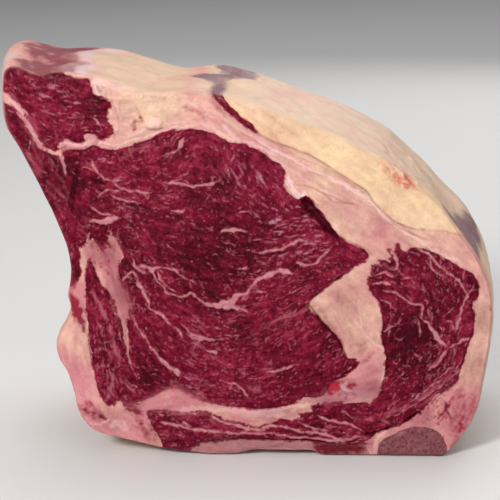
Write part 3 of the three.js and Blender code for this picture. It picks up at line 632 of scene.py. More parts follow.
# Pale lines of tissue in the fat: width, strength, points.
tissue = [
    (1.0, 0.8, [(-68.8, 155.6), (-61.5, 154.3), (-53.3, 156.4), (-39.4, 160.2),
                (-30.8, 162.4), (-15.8, 162.2), (-10.6, 158), (-4, 155.4)]),
    (0.8, 0.5, [(-53, 158.6), (-41, 162), (-30, 164), (-17, 163.8), (-11, 161)]),
    (0.9, 0.6, [(-31.5, 173.6), (-18.5, 168.7), (-11, 164.9)]),
    (0.9, 0.6, [(-29, 175.4), (-16.1, 169.8), (-9.6, 166.7)]),
    (1.4, 0.7, [(-10.3, 164.4), (-5.1, 157.1), (6, 152.8), (15.5, 147.8)]),
    (1.0, 0.6, [(-12, 168), (-2, 160.8), (8, 156), (20, 150)]),
    (1.0, 0.5, [(-62.2, 177.1), (-58.4, 167.4), (-59.4, 161.5), (-61.3, 159.1)]),
    (1.0, 0.5, [(-63.5, 179.7), (-56.7, 184.2), (-52.3, 186)]),
    (3.2, 0.7, [(-66, 183), (-60, 181.6), (-54, 183)]),
    (3.6, 0.9, [(-71, 182.6, 2), (-69, 183.6), (-66, 182.8, 4), (-63.4, 181.4, 2)]),
    (3.8, 1.1, [(-69.4, 181.6), (-68.6, 179), (-66.8, 177, 2)]),
    (2.0, 1.2, [(-66.8, 181.4), (-65.2, 178.8), (-65.4, 177)]),
    (3.4, 0.6, [(-47.6, 163, 2), (-44.6, 164.4), (-41.4, 165, 4), (-38.4, 164.6, 2)]),
    (4.6, 1.1, [(43.7, 36.2), (46.1, 35.7), (48.9, 35.2)]),
    (1.4, 0.6, [(-80.7, 16.6), (-75.7, 16.1), (-71.1, 18.2)]),
    (1.7, 1.5, [(19.4, 138.6), (21, 134.8), (23.2, 130.6), (25.2, 129.2), (27.6, 130.2)]),
    (3.0, 0.5, [(-60.4, 180), (-56, 181.4), (-50, 183)]),
    (1.2, 0.9, [(17.5, 138.5), (21.3, 131.5), (25.2, 128), (28, 129.8)]),
    # along the kernel's lower right edge: partly membrane, partly a painted highlight where the edge
    # catches the light
    (0.9, 0.9, [(55.9, 59.7), (59.9, 56.5), (63.2, 54), (64.3, 49.1), (62.8, 39.3)]),
    (0.8, 0.5, [(51.9, 78.7), (53, 66), (55.9, 59.7)]),
    (1.4, 0.6, [(-111, 177), (-106, 171.5), (-101, 163), (-97, 155)]),
    (1.6, 0.6, [(-89.7, 153.4), (-85.7, 156), (-79.7, 155), (-74.8, 154.9), (-71, 157.4)]),
    (1.2, 0.4, [(-78.6, 92), (-78.4, 73.5), (-77.9, 54.2), (-75.8, 34.8), (-73, 28)]),
    (1.2, 0.5, [(33, 123.4), (38.5, 117), (44, 110.6)]),
    (1.3, 0.9, [(4, 157.2), (14, 150.6), (22, 146.4), (30, 142), (37.4, 138.6)]),
    (1.5, 0.9, [(37.4, 138.6), (51, 131), (57, 126.8), (63.6, 119.6), (71.6, 113), (79, 108.8),
                (88.6, 101.8), (98, 98)]),
    (1.2, 0.5, [(8, 149.4), (20, 142), (34, 133), (44, 128)]),
    (4.0, 0.5, [(-70, 15), (-66, 16.4), (-63, 12)]),
    (2.8, 0.45, [(-46, 19.6), (-30, 24), (-14, 23.4), (2, 21.8), (16, 21.4)]),
    (2.6, 0.5, [(-2, 22.6), (14, 24.4), (28, 27)]),
    (1.4, 0.7, [(-14, 9.6), (12, 10.4), (30, 10.4), (40, 8), (52, 8), (58, 12)]),
    (1.4, 0.6, [(58, 3), (59, 9), (64, 13.4)]),
]

# Red meat and blood in the fat: width, strength, points.
stains = [
    (4.2, 1.3, [(-86.2, 82, 2.4), (-85, 76.5, 4.4), (-83, 70.5, 4.2), (-80.6, 63.5, 2)]),
    (1.5, 1.0, [(-84.4, 92, 1), (-84.6, 87.6, 1.8), (-85.6, 84.4, 1)]),
    (1.8, 0.9, [(-71, 97.4), (-70.2, 95.4)]),
    (1.3, 0.8, [(-68.6, 93.6), (-67.6, 91.6)]),
    (3.6, 0.7, [(-86, 26), (-81.4, 22), (-76.6, 19.4)]),
    (2.2, 0.8, [(-83, 28), (-78.6, 24.4), (-74, 21)]),
    (2.6, 1.4, [(-75.6, 19.8), (-73.6, 19)]),
    (1.6, 1.2, [(-78.4, 22), (-77, 20.8)]),
    (3.4, 1.1, [(-62.6, 22.4), (-58.5, 24), (-55, 21.6)]),
    (3.0, 0.9, [(-57, 19), (-54, 16)]),
    (3.0, 0.6, [(-55, 15), (-52, 9)]),
    (5.5, 1.2, [(30, 4.6, 3), (36, 4.2), (44, 4), (53, 3.4, 3)]),
    (1.4, 0.9, [(-69.2, 109), (-69.4, 103.5), (-69, 100.5)]),
    (1.2, 0.7, [(-75.4, 108.6), (-75.2, 104)]),
    (1.2, 0.7, [(-63.6, 108.4), (-63.4, 103)]),
    (1.6, 0.9, [(-59.8, 95), (-60.4, 90), (-60.2, 84)]),
    (2.0, 0.6, [(-53, 17), (-49.5, 13.6), (-48.4, 8)]),
    (6.0, 1.7, [(35.6, 34.4, 4.6), (38.8, 35.1), (41.6, 35.6, 4.8)]),
    (4.0, 0.7, [(43, 37.6), (46.5, 37.2), (50, 36.6)]),
    (2.6, 0.5, [(52.8, 47.6), (55.5, 50.4), (58.4, 53)]),
    (3.0, 0.4, [(30, 78), (38, 66.5), (43.6, 57)]),
    (2.0, 0.5, [(-29, 171.6), (-23, 170), (-17, 168)]),
    (1.2, 0.5, [(-24, 169.6), (-18.6, 166.4)]),
    (1.4, 0.6, [(-14.6, 174.6), (-9, 167.4)]),
    (1.6, 0.6, [(112.5, 75), (113.4, 73)]),
    (2.4, 0.8, [(-110.3, 190.6), (-109.2, 186.6), (-107.5, 182.8)]),
    (3.4, 0.5, [(99.6, 36), (99, 29.2), (97.4, 21.6), (95.4, 14.1)]),
    (1.8, 0.45, [(98, 28), (102, 25), (106, 24)]),
    (1.6, 0.45, [(95.4, 27), (98, 22), (101, 17)]),
    (1.6, 0.6, [(90, 28), (92.6, 22.4), (91, 18)]),
    (1.6, 0.5, [(92, 30), (88, 26), (83, 23)]),
    (2.4, 0.6, [(100, 13), (96.6, 7), (94, 2)]),
    (1.6, 0.9, [(-68.6, 101), (-68, 98), (-67.4, 95)]),
    (1.4, 0.9, [(-66.4, 93.5), (-65.4, 90)]),
    (1.2, 0.5, [(-50.4, 171), (-49.2, 166.4), (-51.6, 162.4)]),
    (1.3, 1.5, [(-49.6, 168), (-48.4, 165.4)]),
    (1.2, 1.5, [(-51, 164.8), (-52.6, 162)]),
    (5.0, 0.5, [(102, 28), (100, 20), (98, 12)]),
    (4.0, 0.45, [(106, 34), (105, 26), (102, 17)]),
    (1.2, 0.5, [(40.6, 111.8), (47, 106.6), (55, 103.4)]),
    (3.4, 0.4, [(97, 30), (103, 22), (101, 14)]),
    (2.6, 0.45, [(99.5, 12), (96.5, 6), (94, 2.4)]),
    (3.0, 0.35, [(84, 24.4), (92, 32), (99.5, 41)]),
]

# Silvery membrane on the fat: width, strength, points.
silver = [
    (3.0, 0.5, [(-69.8, 180), (-66.9, 180.6), (-65, 178.6)]),
    (2.4, 0.7, [(28.7, 29.6), (32, 29.3), (35.9, 29)]),
    (2.6, 0.8, [(40.7, 29.4), (45, 31), (49.8, 31.6), (56.6, 32.4)]),
    (2.6, 0.4, [(-2, 20.8), (5, 21.4), (13, 23), (20, 24)]),
    (1.2, 0.5, [(-74.6, 154.6), (-72.4, 156.8), (-74, 159)]),
    (2.4, 0.35, [(-75, 15), (-71, 13.4), (-64, 13)]),
]

# Edges of flaps on the front face, raised to their left: height, fading, points.
folds = [
    (0.9, 4.0, [(-13.4, 174.7), (5.2, 159.3), (14.4, 153.4), (21.7, 149.4), (29.1, 145.7),
                (39.3, 141.4), (52.1, 132.2), (57.6, 127.6), (64.5, 120.2), (72.4, 113.4),
                (79.3, 109.4), (88.5, 102.4), (97.8, 98.6)]),
    (0.8, 5.0, [(14, 138.6), (20.4, 135.6), (27.9, 133.4), (39, 129.2), (46, 126),
                (52, 124.6)]),
    (0.7, 3.0, [(-57, 179), (-60.4, 171), (-60.2, 164), (-62, 160)]),
    (0.6, 3.0, [(-46, 177), (-49, 173), (-48.4, 168), (-51, 163.6)]),
    (0.5, 2.5, [(-66, 150.6), (-54, 157.4), (-40, 162.4), (-26, 164)]),
    (0.6, 2.5, [(-30, 175.6), (-21, 172.6), (-12, 166.4), (-6, 159.4)]),
    (0.5, 2.0, [(-88, 85), (-82.6, 77), (-79.6, 66), (-78.8, 54)]),
    (0.5, 2.0, [(92.4, 30), (94.4, 24), (93.2, 18.6)]),
]

# Soft patches: x, z, radius, amount. Tone makes meat lighter or darker; near x -82, z 134
# and x -68, z 171 it darkens a valley and a hollow as painted shade. Warmth makes fat more
# yellow or more pink, the fat patches make fat lighter or darker, in the kernel near x 46 to 52
# as painted shade in its recess, the red ones streak it with blood, and the sheen patches
# paint a pale lilac highlight onto the meat.
tonePatches = [
    (-12, 108, 44, -0.35), (-20, 100, 20, -0.2), (-50, 141, 24, 0.25), (-80, 135, 16, -0.3),
    (-22, 152, 16, 0.15), (-4, 146, 18, 0.3), (16, 128, 18, 0.3), (28, 108, 16, 0.35),
    (40, 98, 16, 0.3), (-52, 118, 16, -0.2), (-46, 62, 22, 0.2), (-22, 36, 26, 0.4),
    (10, 46, 22, 0.15), (38, 60, 12, -0.25), (-8, 66, 18, 0.05), (5, 80, 14, 0.05),
    (76, 58, 26, -0.7), (88, 80, 18, -0.3), (70, 92, 12, 0.1), (88, 40, 14, -0.1),
    (60, 20, 14, 0.1), (-71, 62, 20, -0.15), (-66, 30, 8, -0.2), (-86, 172, 22, 0.25),
    (-56, 98, 16, -0.3), (-50, 44, 12, -0.15), (-88, 160, 12, -0.15), (-70, 172, 9, -0.3),
    (-96, 138, 22, -0.15), (-38, 6, 10, -0.3), (-30, 18, 14, -0.1), (20, 16, 20, 0.0),
    (100, 66, 14, 0.1), (-74, 110, 10, -0.1), (-82, 134, 9, -0.6), (76, 72, 14, -0.2),
    (-90, 130, 14, -0.1), (-66, 170, 7, -0.3), (40, 104, 9, -0.2),
]
warmthPatches = [
    (-92, 54, 9, -0.5), (-40, 30, 20, -0.7), (-44, 174, 22, 0.9), (-62, 168, 12, 0.1),
    (-30, 178, 18, 0.3), (40, 148, 34, 0.5), (80, 122, 24, 0.4), (20, 158, 20, 0.15),
    (60, 134, 14, 0.4), (98, 100, 14, 0.0), (112, 60, 22, -0.1), (60, 116, 22, -0.15),
    (44, 122, 14, -0.1), (86, 105, 18, -0.05), (24, 142, 18, 0.1), (46, 78, 16, -0.05),
    (54, 44, 16, -0.6), (42, 34, 8, -0.8), (76, 22, 15, -1.1), (66, 12, 8, -0.6),
    (-30, 28, 16, -0.5), (-6, 22, 16, -0.4), (-60, 84, 14, -1.0), (46, 36, 12, -0.3),
    (-66, 98, 14, -0.5), (-52, 26, 12, -1.1), (58, 34, 12, -0.7), (-72, 12, 12, -0.4),
    (-92, 56, 10, 0.1), (-84, 40, 20, -0.9), (-80, 18, 14, -0.9), (-60, 14, 18, -0.5),
    (56, 6, 8, -1.0), (-68, 100, 22, -0.5), (-60, 76, 14, -0.9), (-80, 80, 14, -0.9),
    (-30, 28, 22, -0.1), (10, 22, 22, -0.6), (40, 30, 18, -0.9), (104, 26, 18, -1.3),
    (94, 24, 14, -0.5), (20, 160, 18, -0.35), (-20, 172, 10, 0.4), (-56, 12, 14, -0.5),
    (-24, 160, 22, -0.5), (6, 152, 18, -0.5), (28, 140, 16, -0.35), (68, 110, 14, -0.3),
    (104, 92, 12, -0.2), (96, 12, 14, -0.9), (80, 20, 12, -0.8), (-20, 168, 16, -0.1),
    (-98, 165, 20, -1.3), (-80, 155, 12, -0.9), (-66, 154, 10, -0.5), (-20, 4, 40, -0.3),
    (30, 4, 26, -0.2),
]
fatPatches = [
    (-70, 106, 15, -1.1), (-60, 86, 13, -0.9), (-59, 66, 10, -1.0), (-62, 50, 9, -0.6),
    (-62, 94, 12, -0.5), (43, 4, 12, -0.7), (-59, 80, 12, -0.8), (-30, 27, 14, -0.15),
    (-76, 62, 12, -0.35), (-40, 29, 18, -0.1), (10, 24, 18, -0.45), (36, 28, 20, -0.8),
    (56, 33, 10, -0.8), (100, 22, 16, -0.15), (-72, 20, 12, -0.5), (-58, 26, 8, -0.9),
    (20, 160, 20, -0.35), (68, 130, 22, -0.3), (-98, 160, 11, -0.3), (-6, 164, 10, -0.2),
    (-15, 176, 10, -0.25), (110, 70, 12, -0.7), (108, 45, 16, -0.7), (46, 80, 14, -0.35),
    (50, 56, 14, -0.3), (60, 38, 12, -0.35), (66, 108, 20, -0.22), (40, 128, 12, -0.2),
    (82, 20, 10, -0.7), (-50, 10, 10, -0.5), (-94, 62, 12, 0.4), (-90, 42, 10, 0.1),
    (-70, 10, 8, -0.3), (0, 4, 30, -0.3), (48, 70, 22, -0.15), (56, 6, 8, -0.5),
    (-84, 150, 8, 0.2), (39, 35, 5, 1.6), (-19, 171, 10, 0.5), (-46, 166, 6, 0.3),
    (-84, 30, 16, 0.3), (52, 58, 8, -0.4),
]
redPatches = [
    (88, 24, 22, 1.0), (100, 16, 14, 0.9), (-58, 18, 12, 0.6), (-74, 20, 12, 0.5),
    (-44, 5, 9, 0.8), (-28, 4, 12, 0.8), (20, 22, 20, 0.45), (46, 31, 12, 0.6), (60, 8, 8, 0.6),
    (-66, 106, 12, 0.55), (-98, 160, 12, 0.8), (-68, 86, 9, 0.4), (-84, 72, 10, 0.6),
    (-20, 168, 16, 0.4), (-62, 60, 9, 0.5), (108, 66, 8, 0.3), (-60, 158, 10, 0.35),
    (-38, 160, 10, 0.3),
]
paintedSheenPatches = [
    (20, 118, 16, 1.2), (30, 106, 13, 1.0), (10, 126, 14, 0.8), (14, 104, 12, 0.5),
    (-2, 140, 18, 0.5), (12, 140, 12, 0.6), (-66, 148, 12, 0.6), (-30, 40, 18, 0.6),
    (-74, 176, 11, 0.7), (-92, 182, 14, 0.6), (-86, 170, 14, 0.5), (-60, 120, 14, 0.4),
    (-50, 96, 16, 0.3), (-24, 60, 18, 0.35), (20, 84, 12, 0.4), (-72, 60, 14, 0.5),
    (-70, 36, 10, 0.5), (2, 40, 14, 0.5), (-8, 73, 9, 0.3), (22, 63, 12, 0.3),
    (-48, 34, 14, 0.25), (44, 96, 9, 0.3),
]


def patched(patches, x, z):
    total = np.zeros(np.shape(x))
    for patchX, patchZ, radius, amount in patches:
        reach = ((x - patchX) ** 2 + (z - patchZ) ** 2) / radius ** 2
        total += amount * np.clip(1 - reach, 0, 1) ** 2
    return total


# Where the edge between meat and fat is blurred, and where it is frayed: x, z, radius and
# strength or millimetres.
blurPatches = [
    (-40, 32, 26, 1.0), (-60, 80, 18, 1.1), (-66, 60, 12, 0.5), (-97, 165, 20, 0.8),
    (36, 30, 18, 0.6), (-20, 14, 34, 0.6), (95, 32, 18, 0.6), (68, 98, 14, 0.6),
    (-68, 104, 14, 0.8), (-84, 84, 12, 0.6), (-62, 25, 10, 0.8), (56, 88, 10, 0.5),
]
frayPatches = [
    (-68, 106, 16, 2.2), (-60, 76, 14, 1.2), (-66, 60, 12, 0.8), (66, 92, 16, 1.8),
    (-20, 14, 26, 1.2), (36, 18, 24, 1.4), (-62, 24, 14, 1.6), (-98, 168, 16, 1.4),
    (94, 26, 20, 1.2), (-84, 80, 14, 1.0), (42, 36, 10, 1.4), (-66, 172, 12, 1.0),
]

marbling = {
    "strokes": 2300,
    "dots": 3400,
    "randomVeins": 190,
    "backVeins": 420,
    "veinGain": 0.3,
    "keptBehind": 0.6,  # share of the large veins that the back shows too
    "backSway": (8, 34),  # amount and size
    "strokeLength": 1.7,
    "strokeWidth": (0.45, 0.95),
    "dotWidth": (0.4, 1.0),
    "evenness": (0.6, 0.4, 11, 77),  # middle, swing, size and seed of the density's lumps
    "edgeFree": 0.6,
    "ribDensity": 1.8,
    "forkChance": 0.035,
    "forkShare": (0.45, 0.8),  # of the length and the width
    "seeds": {"front": 11, "back": 23},
    "backNoise": 60,
}

# Where the marbling is denser: x, z, radius, amount.
densityPatches = [
    (90, 90, 20, 1.0), (66, 94, 14, 0.8), (92, 46, 18, 0.9), (72, 58, 14, -0.3),
    (-24, 44, 30, 0.4), (-52, 132, 20, 0.4), (-66, 40, 16, 0.6), (-4, 86, 24, 0.2),
    (-20, 104, 20, -0.2), (-38, 156, 16, 0.5),
]


def randomInMuscle(rng, count):
    middle, swing, size, seed = marbling["evenness"]
    density = middle + swing * softNoise(sheetX / size, sheetZ / size, seed)
    density = np.where(inMuscle & insideRoast & (border > marbling["edgeFree"]), density, 0)
    density += patched(densityPatches, sheetX, sheetZ) * (density > 0)
    density[region == labels.index("rib_muscle")] *= marbling["ribDensity"]
    chance = np.cumsum(density.ravel())
    cells = np.searchsorted(chance, rng.random(count) * chance[-1])
    return sheetX.ravel()[cells], sheetZ.ravel()[cells]


def flowHere(x, z):
    return float(sample(flow, np.array(x), np.array(z)))


def paintFlecks(field, rng):
    low, high = marbling["strokeWidth"]
    for x, z in zip(*randomInMuscle(rng, marbling["strokes"])):
        angle = flowHere(x, z) + rng.normal(0, 0.4)
        length = marbling["strokeLength"] * rng.lognormal(0, 0.5)
        bend = rng.normal(0, 0.6)
        width = rng.uniform(low, high)
        strength = 0.2 + 0.75 * rng.random() ** 1.6
        steps = max(2, int(length / sheet["cell"]))
        for step in range(steps):
            share = step / steps - 0.5
            turned = angle + bend * share
            dab(field, x + math.cos(turned) * length * share,
                z + math.sin(turned) * length * share,
                width / 2 * (1 - 2 * share * share), 0.5, strength, 0.4)
    low, high = marbling["dotWidth"]
    for x, z in zip(*randomInMuscle(rng, marbling["dots"])):
        strength = 0.1 + 0.75 * rng.random() ** 2
        dab(field, x, z, rng.uniform(low, high) / 2, 0.5, strength, 0.45)


# A vein that wanders along the marbling and may fork.
def wander(field, rng, x, z, length, width, forks=1):
    angle = flowHere(x, z)
    angle += math.pi * rng.integers(0, 2) + rng.normal(0, 0.5)
    steps = int(length / brush["step"])
    for step in range(steps):
        away = math.sin(2 * (flowHere(x, z) - angle)) / 2
        angle += 0.06 * away + rng.normal(0, 0.08)
        x += brush["step"] * math.cos(angle)
        z += brush["step"] * math.sin(angle)
        thin = 1 - 0.75 * step / steps
        dab(field, x, z, width * thin * (1 + 0.25 * math.sin(step * 0.9 + angle)) / 2)
        if forks and rng.random() < marbling["forkChance"]:
            ofLength, ofWidth = marbling["forkShare"]
            wander(field, rng, x, z, length * ofLength, width * thin * ofWidth, forks - 1)


# Height of a ledge along a line, highest just left of the line.
def ledge(height, fade, points):
    path = smoothCurve(points, 0.4)
    nearest = np.full(sheetX.shape, 1e6)
    side, thin = np.zeros(sheetX.shape), np.zeros(sheetX.shape)
    reach = 3 * fade
    for index, ((x, z), (stepX, stepZ)) in enumerate(zip(path, np.gradient(path, axis=0))):
        window = windowAt(x, z, reach)
        dx, dz = sheetX[window] - x, sheetZ[window] - z
        distance = dx * dx + dz * dz
        closer = distance < nearest[window]
        nearest[window][closer] = distance[closer]
        side[window][closer] = (stepX * dz - stepZ * dx)[closer]
        thin[window][closer] = min(1, index / 12, (len(path) - 1 - index) / 12)
    away = np.sqrt(nearest) * np.sign(side)
    rise = smoothStep(away, -0.5, 0.5) * np.exp(-np.maximum(away, 0) / fade)
    return height * thin * rise * (nearest < reach ** 2)


# The blurred and coloured lines of a face: field, rows, softness and reach.
lineKinds = [
    ("streak", softVeins, 1.6, 1.0), ("pale", tissue, 0.9, 1.0), ("blood", stains, 2.8, 1.6),
    ("silver", silver, 1.4, 1.0),
]


# The painted fields of one cut face. At the back the veins have drifted.
def paintFace(front):
    rng = np.random.default_rng(marbling["seeds"]["front" if front else "back"])
    blank = np.zeros(sheetX.shape)
    field = {key: blank.copy() for key in (
        "fleck", "streak", "crack", "depth", "raised", "pale", "blood", "silver")}
    field["vein"] = blank - 1

    def drifted(points):
        if front:
            return points
        x, z = np.array([point[:2] for point in points], float).T
        amount, size = marbling["backSway"]
        swayX = amount * softNoise(x / size, z / size, 301)
        swayZ = amount * softNoise(x / size, z / size, 302)
        return list(zip(x + swayX, z + swayZ))

    def raiseTo(key, value):
        field[key] = np.maximum(field[key], value)

    for width, points in veins:
        if front or rng.random() < marbling["keptBehind"]:
            moved = drifted(points)
            stroke(field["vein"], width + marbling["veinGain"], moved)
            for x, z, *_ in moved[1::2]:
                wander(field["vein"], rng, x, z, rng.uniform(1.5, 4), rng.uniform(0.4, 0.7))
    count = marbling["randomVeins"] if front else marbling["backVeins"]
    for x, z in zip(*randomInMuscle(rng, count)):
        wander(field["vein"], rng, x, z, rng.uniform(3, 8), rng.uniform(0.5, 1.0))
    paintFlecks(field["fleck"], rng)
    for key, rows, soft, reach in lineKinds:
        for width, strength, points in rows:
            stroke(field[key], width, drifted(points), reach, strength, soft)
    # each crack is carved as a trench and painted dark along it as painted shade
    for width, deep, points in shadedCracks:
        stroke(field["crack"], width, points, 0.6, min(0.9, deep), 0.7, 0.25)
        trench = blank - 1
        stroke(trench, width, points, reach=0.5, swell=0.1)
        raiseTo("depth", deep * smoothStep(trench / (width / 2), -0.3, 0.9))
    if front:
        for width, height, points in strands:
            ridge = blank - 9
            stroke(ridge, width, points, reach=0.2)
            share = np.clip(1 - ridge / (width / 2), 0, 1)
            bump = height * np.sqrt(np.clip(1 - share ** 2, 0, 1))
            raiseTo("raised", np.where(ridge > -0.2, bump, 0))
        for height, fade, points in folds:
            field["raised"] += ledge(height, fade, points)

    seed = 0 if front else marbling["backNoise"]

    def noise(size, number):
        return softNoise(sheetX / size, sheetZ / size, number + seed)

    fibre = grainNoise(0.75, 1.5, 21 + seed)
    bundles = grainNoise(1.8, 3.4, 22 + seed)
    fray = 0.8 * grainNoise(1.1, 3.0, 44 + seed) + 0.4 * noise(0.9, 45)
    fray *= 0.7 + patched(frayPatches, sheetX, sheetZ)
    # ragged edges and a fringe of fat where meat meets fat
    wavyX = sheetX + 0.4 * noise(2.2, 46) + 0.16 * noise(1.0, 47)
    wavyZ = sheetZ + 0.4 * noise(2.2, 48) + 0.16 * noise(1.0, 49)
    for key in ("vein", "streak"):
        field[key] = sample(field[key], wavyX, wavyZ)
    wavyX, wavyZ = sheetX + 1.6 * (wavyX - sheetX), sheetZ + 1.6 * (wavyZ - sheetZ)
    for key in ("blood", "silver", "pale"):
        field[key] = sample(field[key], wavyX, wavyZ)
    raiseTo("fleck", (field["streak"] * (0.85 + 0.6 * fibre + 0.5 * bundles)).clip(0, 0.9))
    field["blood"] *= 0.95 + 0.4 * fibre + 0.25 * bundles + 0.45 * noise(1.2, 37)
    field["silver"] *= 0.85 + 0.4 * noise(1.3, 38)
    ragged = 0.17 * noise(1.3, 35) + 0.09 * noise(0.8, 36)
    raiseTo("vein", fray - 0.1 - toMeat)
    field["vein"] = np.where(field["vein"] > -0.95, field["vein"] + ragged, -1)
    streaks = 0.5 * bundles + 0.4 * fibre + 0.35 * noise(1.1, 43)
    raiseTo("blood", patched(redPatches, sheetX, sheetZ) * smoothStep(streaks, -0.1, 0.9))
    redFringe = 0.4 * noise(0.8, 39) + 0.1 - fray - toMeat
    raiseTo("blood", 0.95 * smoothStep(redFringe, -0.7, 0.7))
    blurred = patched(blurPatches, sheetX, sheetZ) * np.exp(-toMeat / 1.7)
    blurred *= 0.8 + 0.4 * fibre + 0.3 * bundles
    raiseTo("fleck", 0.95 * blurred)
    raiseTo("blood", 0.5 * blurred)

    pebbles = noise(1.3, 40) + 0.6 * noise(0.7, 41)
    ofMeat = 0.8 * patched(tonePatches, sheetX, sheetZ) + 0.22 * noise(13, 23) - 0.1
    ofMeat += 0.27 * fibre + 0.26 * bundles + 0.36 * pebbles + 0.26 * noise(4.5, 50)
    ofFat = 0.13 * noise(4, 24) + 0.1 * noise(1.6, 25) + 0.2 * bundles + 0.1 * fibre
    ofFat += patched(fatPatches, sheetX, sheetZ)
    field["tone"] = between(ofFat, ofMeat, muscleShare)
    warmth = patched(warmthPatches, sheetX, sheetZ) + 0.3 * noise(9, 26) + 0.16 * bundles
    # painted sheen: pale lilac streaks along the grain, painted in as the wet meat's highlights; by
    # the fat the channel drops below the middle, which tints the veins like that fat
    sheenStreaks = 0.6 * fibre + 0.5 * grainNoise(0.5, 1.2, 51 + seed) + 0.3 * bundles
    sheen = (0.1 + 1.3 * patched(paintedSheenPatches, sheetX, sheetZ)) * smoothStep(sheenStreaks, 0.1, 1)
    sheen -= 1.3 * np.exp(-toMeat / 1.3)
    field["warmthAndSheen"] = between(warmth, sheen, muscleShare)
    boneRim = (region == labels.index("chine_bone")) * np.exp(-border / 2.0)
    field["tone"] += boneRim * (1.2 + 0.5 * noise(2.2, 52))

    lumps = 0.3 * noise(9, 27) + 0.14 * noise(3.2, 28)
    meatRelief = 0.45 * (1 - np.exp(-border / 1.3)) + 0.14 * fibre + 0.17 * bundles + lumps
    meatRelief += 0.2 * pebbles + 0.1 * smoothStep(field["vein"], -0.5, 0.5)
    meatRelief += 0.08 * field["fleck"] + 0.15 * noise(4.5, 50)
    fatRelief = 1.5 * lumps + 0.08 * noise(1.2, 29) + 0.16 * bundles + 0.06 * fibre
    fatRelief += 0.25 * field["pale"] - 0.2 * field["blood"] + 0.14 * noise(2.4, 53)
    height = between(fatRelief, meatRelief, inMuscle)
    height -= 0.3 * np.exp(-(border / 0.5) ** 2) * smoothStep(noise(5, 42), -0.1, 0.9)
    kernel = (region == labels.index("fat_kernel")) * np.exp(-border / 3.5)
    height -= 0.9 * kernel * (sheetX < 50)
    height += patched(frontSwellings if front else backSwellings, sheetX, sheetZ)
    field["height"] = height + field["raised"] - field["depth"]
    return field


# Swellings of the cut faces: centre x, centre z, radius, height.
frontSwellings = [
    (-12, 92, 66, 2.2), (84, 62, 34, 1.6), (-90, 172, 24, 1.4), (50, 66, 16, -1.2),
    (52, 116, 18, -1.4), (-92, 52, 18, 1.2),
]
backSwellings = [
    (-24, 96, 60, 1.8), (80, 60, 34, 2), (-102, 172, 26, 1.2), (30, 142, 22, -1.2),
]

frontFace = paintFace(True)
stage("front face painted")
backFace = paintFace(False)
stage("back face painted")


def readPoints(piece):
    flat = np.empty(len(piece.data.vertices) * 3)
    piece.data.vertices.foreach_get("co", flat)
    return flat.reshape(-1, 3) / mm


def writePoints(piece, points):
    piece.data.vertices.foreach_set("co", (points * mm).ravel())
    piece.data.update()


def only(piece):
    bpy.ops.object.select_all(action="DESELECT")
    piece.select_set(True)
    bpy.context.view_layer.objects.active = piece


def startEditing(piece):
    only(piece)
    bpy.ops.object.mode_set(mode="EDIT")
    bpy.ops.mesh.select_all(action="SELECT")


def leaveEditing():
    bpy.ops.mesh.select_all(action="SELECT")
    bpy.ops.mesh.normals_make_consistent(inside=False)
    bpy.ops.object.mode_set(mode="OBJECT")


# Pushes a flat mesh out along y into a closed block.
def thicken(piece, distance):
    startEditing(piece)
    bpy.ops.mesh.extrude_region_move(TRANSFORM_OT_translate={"value": (0, distance * mm, 0)})
    leaveEditing()


# Wrinkles of the outside, 1 in the middle of a wrinkle.
def creaseShare(x, y, z):
    bent = softNoise(x / 9, z / 9, 36, y / 9)
    wide = softNoise(x / 17 + 0.3 * bent, z / 17, 33, y / 26)
    thin = softNoise(x / 8, z / 8 + 0.3 * bent, 35, y / 14)
    return np.maximum(np.exp(-(wide / 0.06) ** 2), 0.6 * np.exp(-(thin / 0.08) ** 2))


# The torn spot on the ridge of the fat: how much of it is at a point, and its flakes.
scar = {"centre": (70.4, -53.5, 140.0), "along": (0.76, -0.65), "reach": (13.5, 7.5, 6.4)}


def scarPlace(x, y, z):
    centreX, centreY, centreZ = scar["centre"]
    alongX, alongZ = scar["along"]
    along = (x - centreX) * alongX + (z - centreZ) * alongZ
    out = (z - centreZ) * alongX - (x - centreX) * alongZ
    return along, y - centreY, out


def scarShare(x, y, z):
    along, behind, out = scarPlace(x, y, z)
    reach = scar["reach"]
    far = (along / reach[0]) ** 2 + (behind / reach[1]) ** 2 + (out / reach[2]) ** 2
    return 1 - smoothStep(far, 0.35, 1.1)


def scarGrain(x, y, z):
    along, behind, out = scarPlace(x, y, z)
    skewed = behind + out + 0.35 * along
    flakes = softNoise(along / 3.4, skewed / 1.3, 61) + 0.5 * softNoise(along / 1.5, skewed / 0.9, 62)
    return 0.8 * flakes


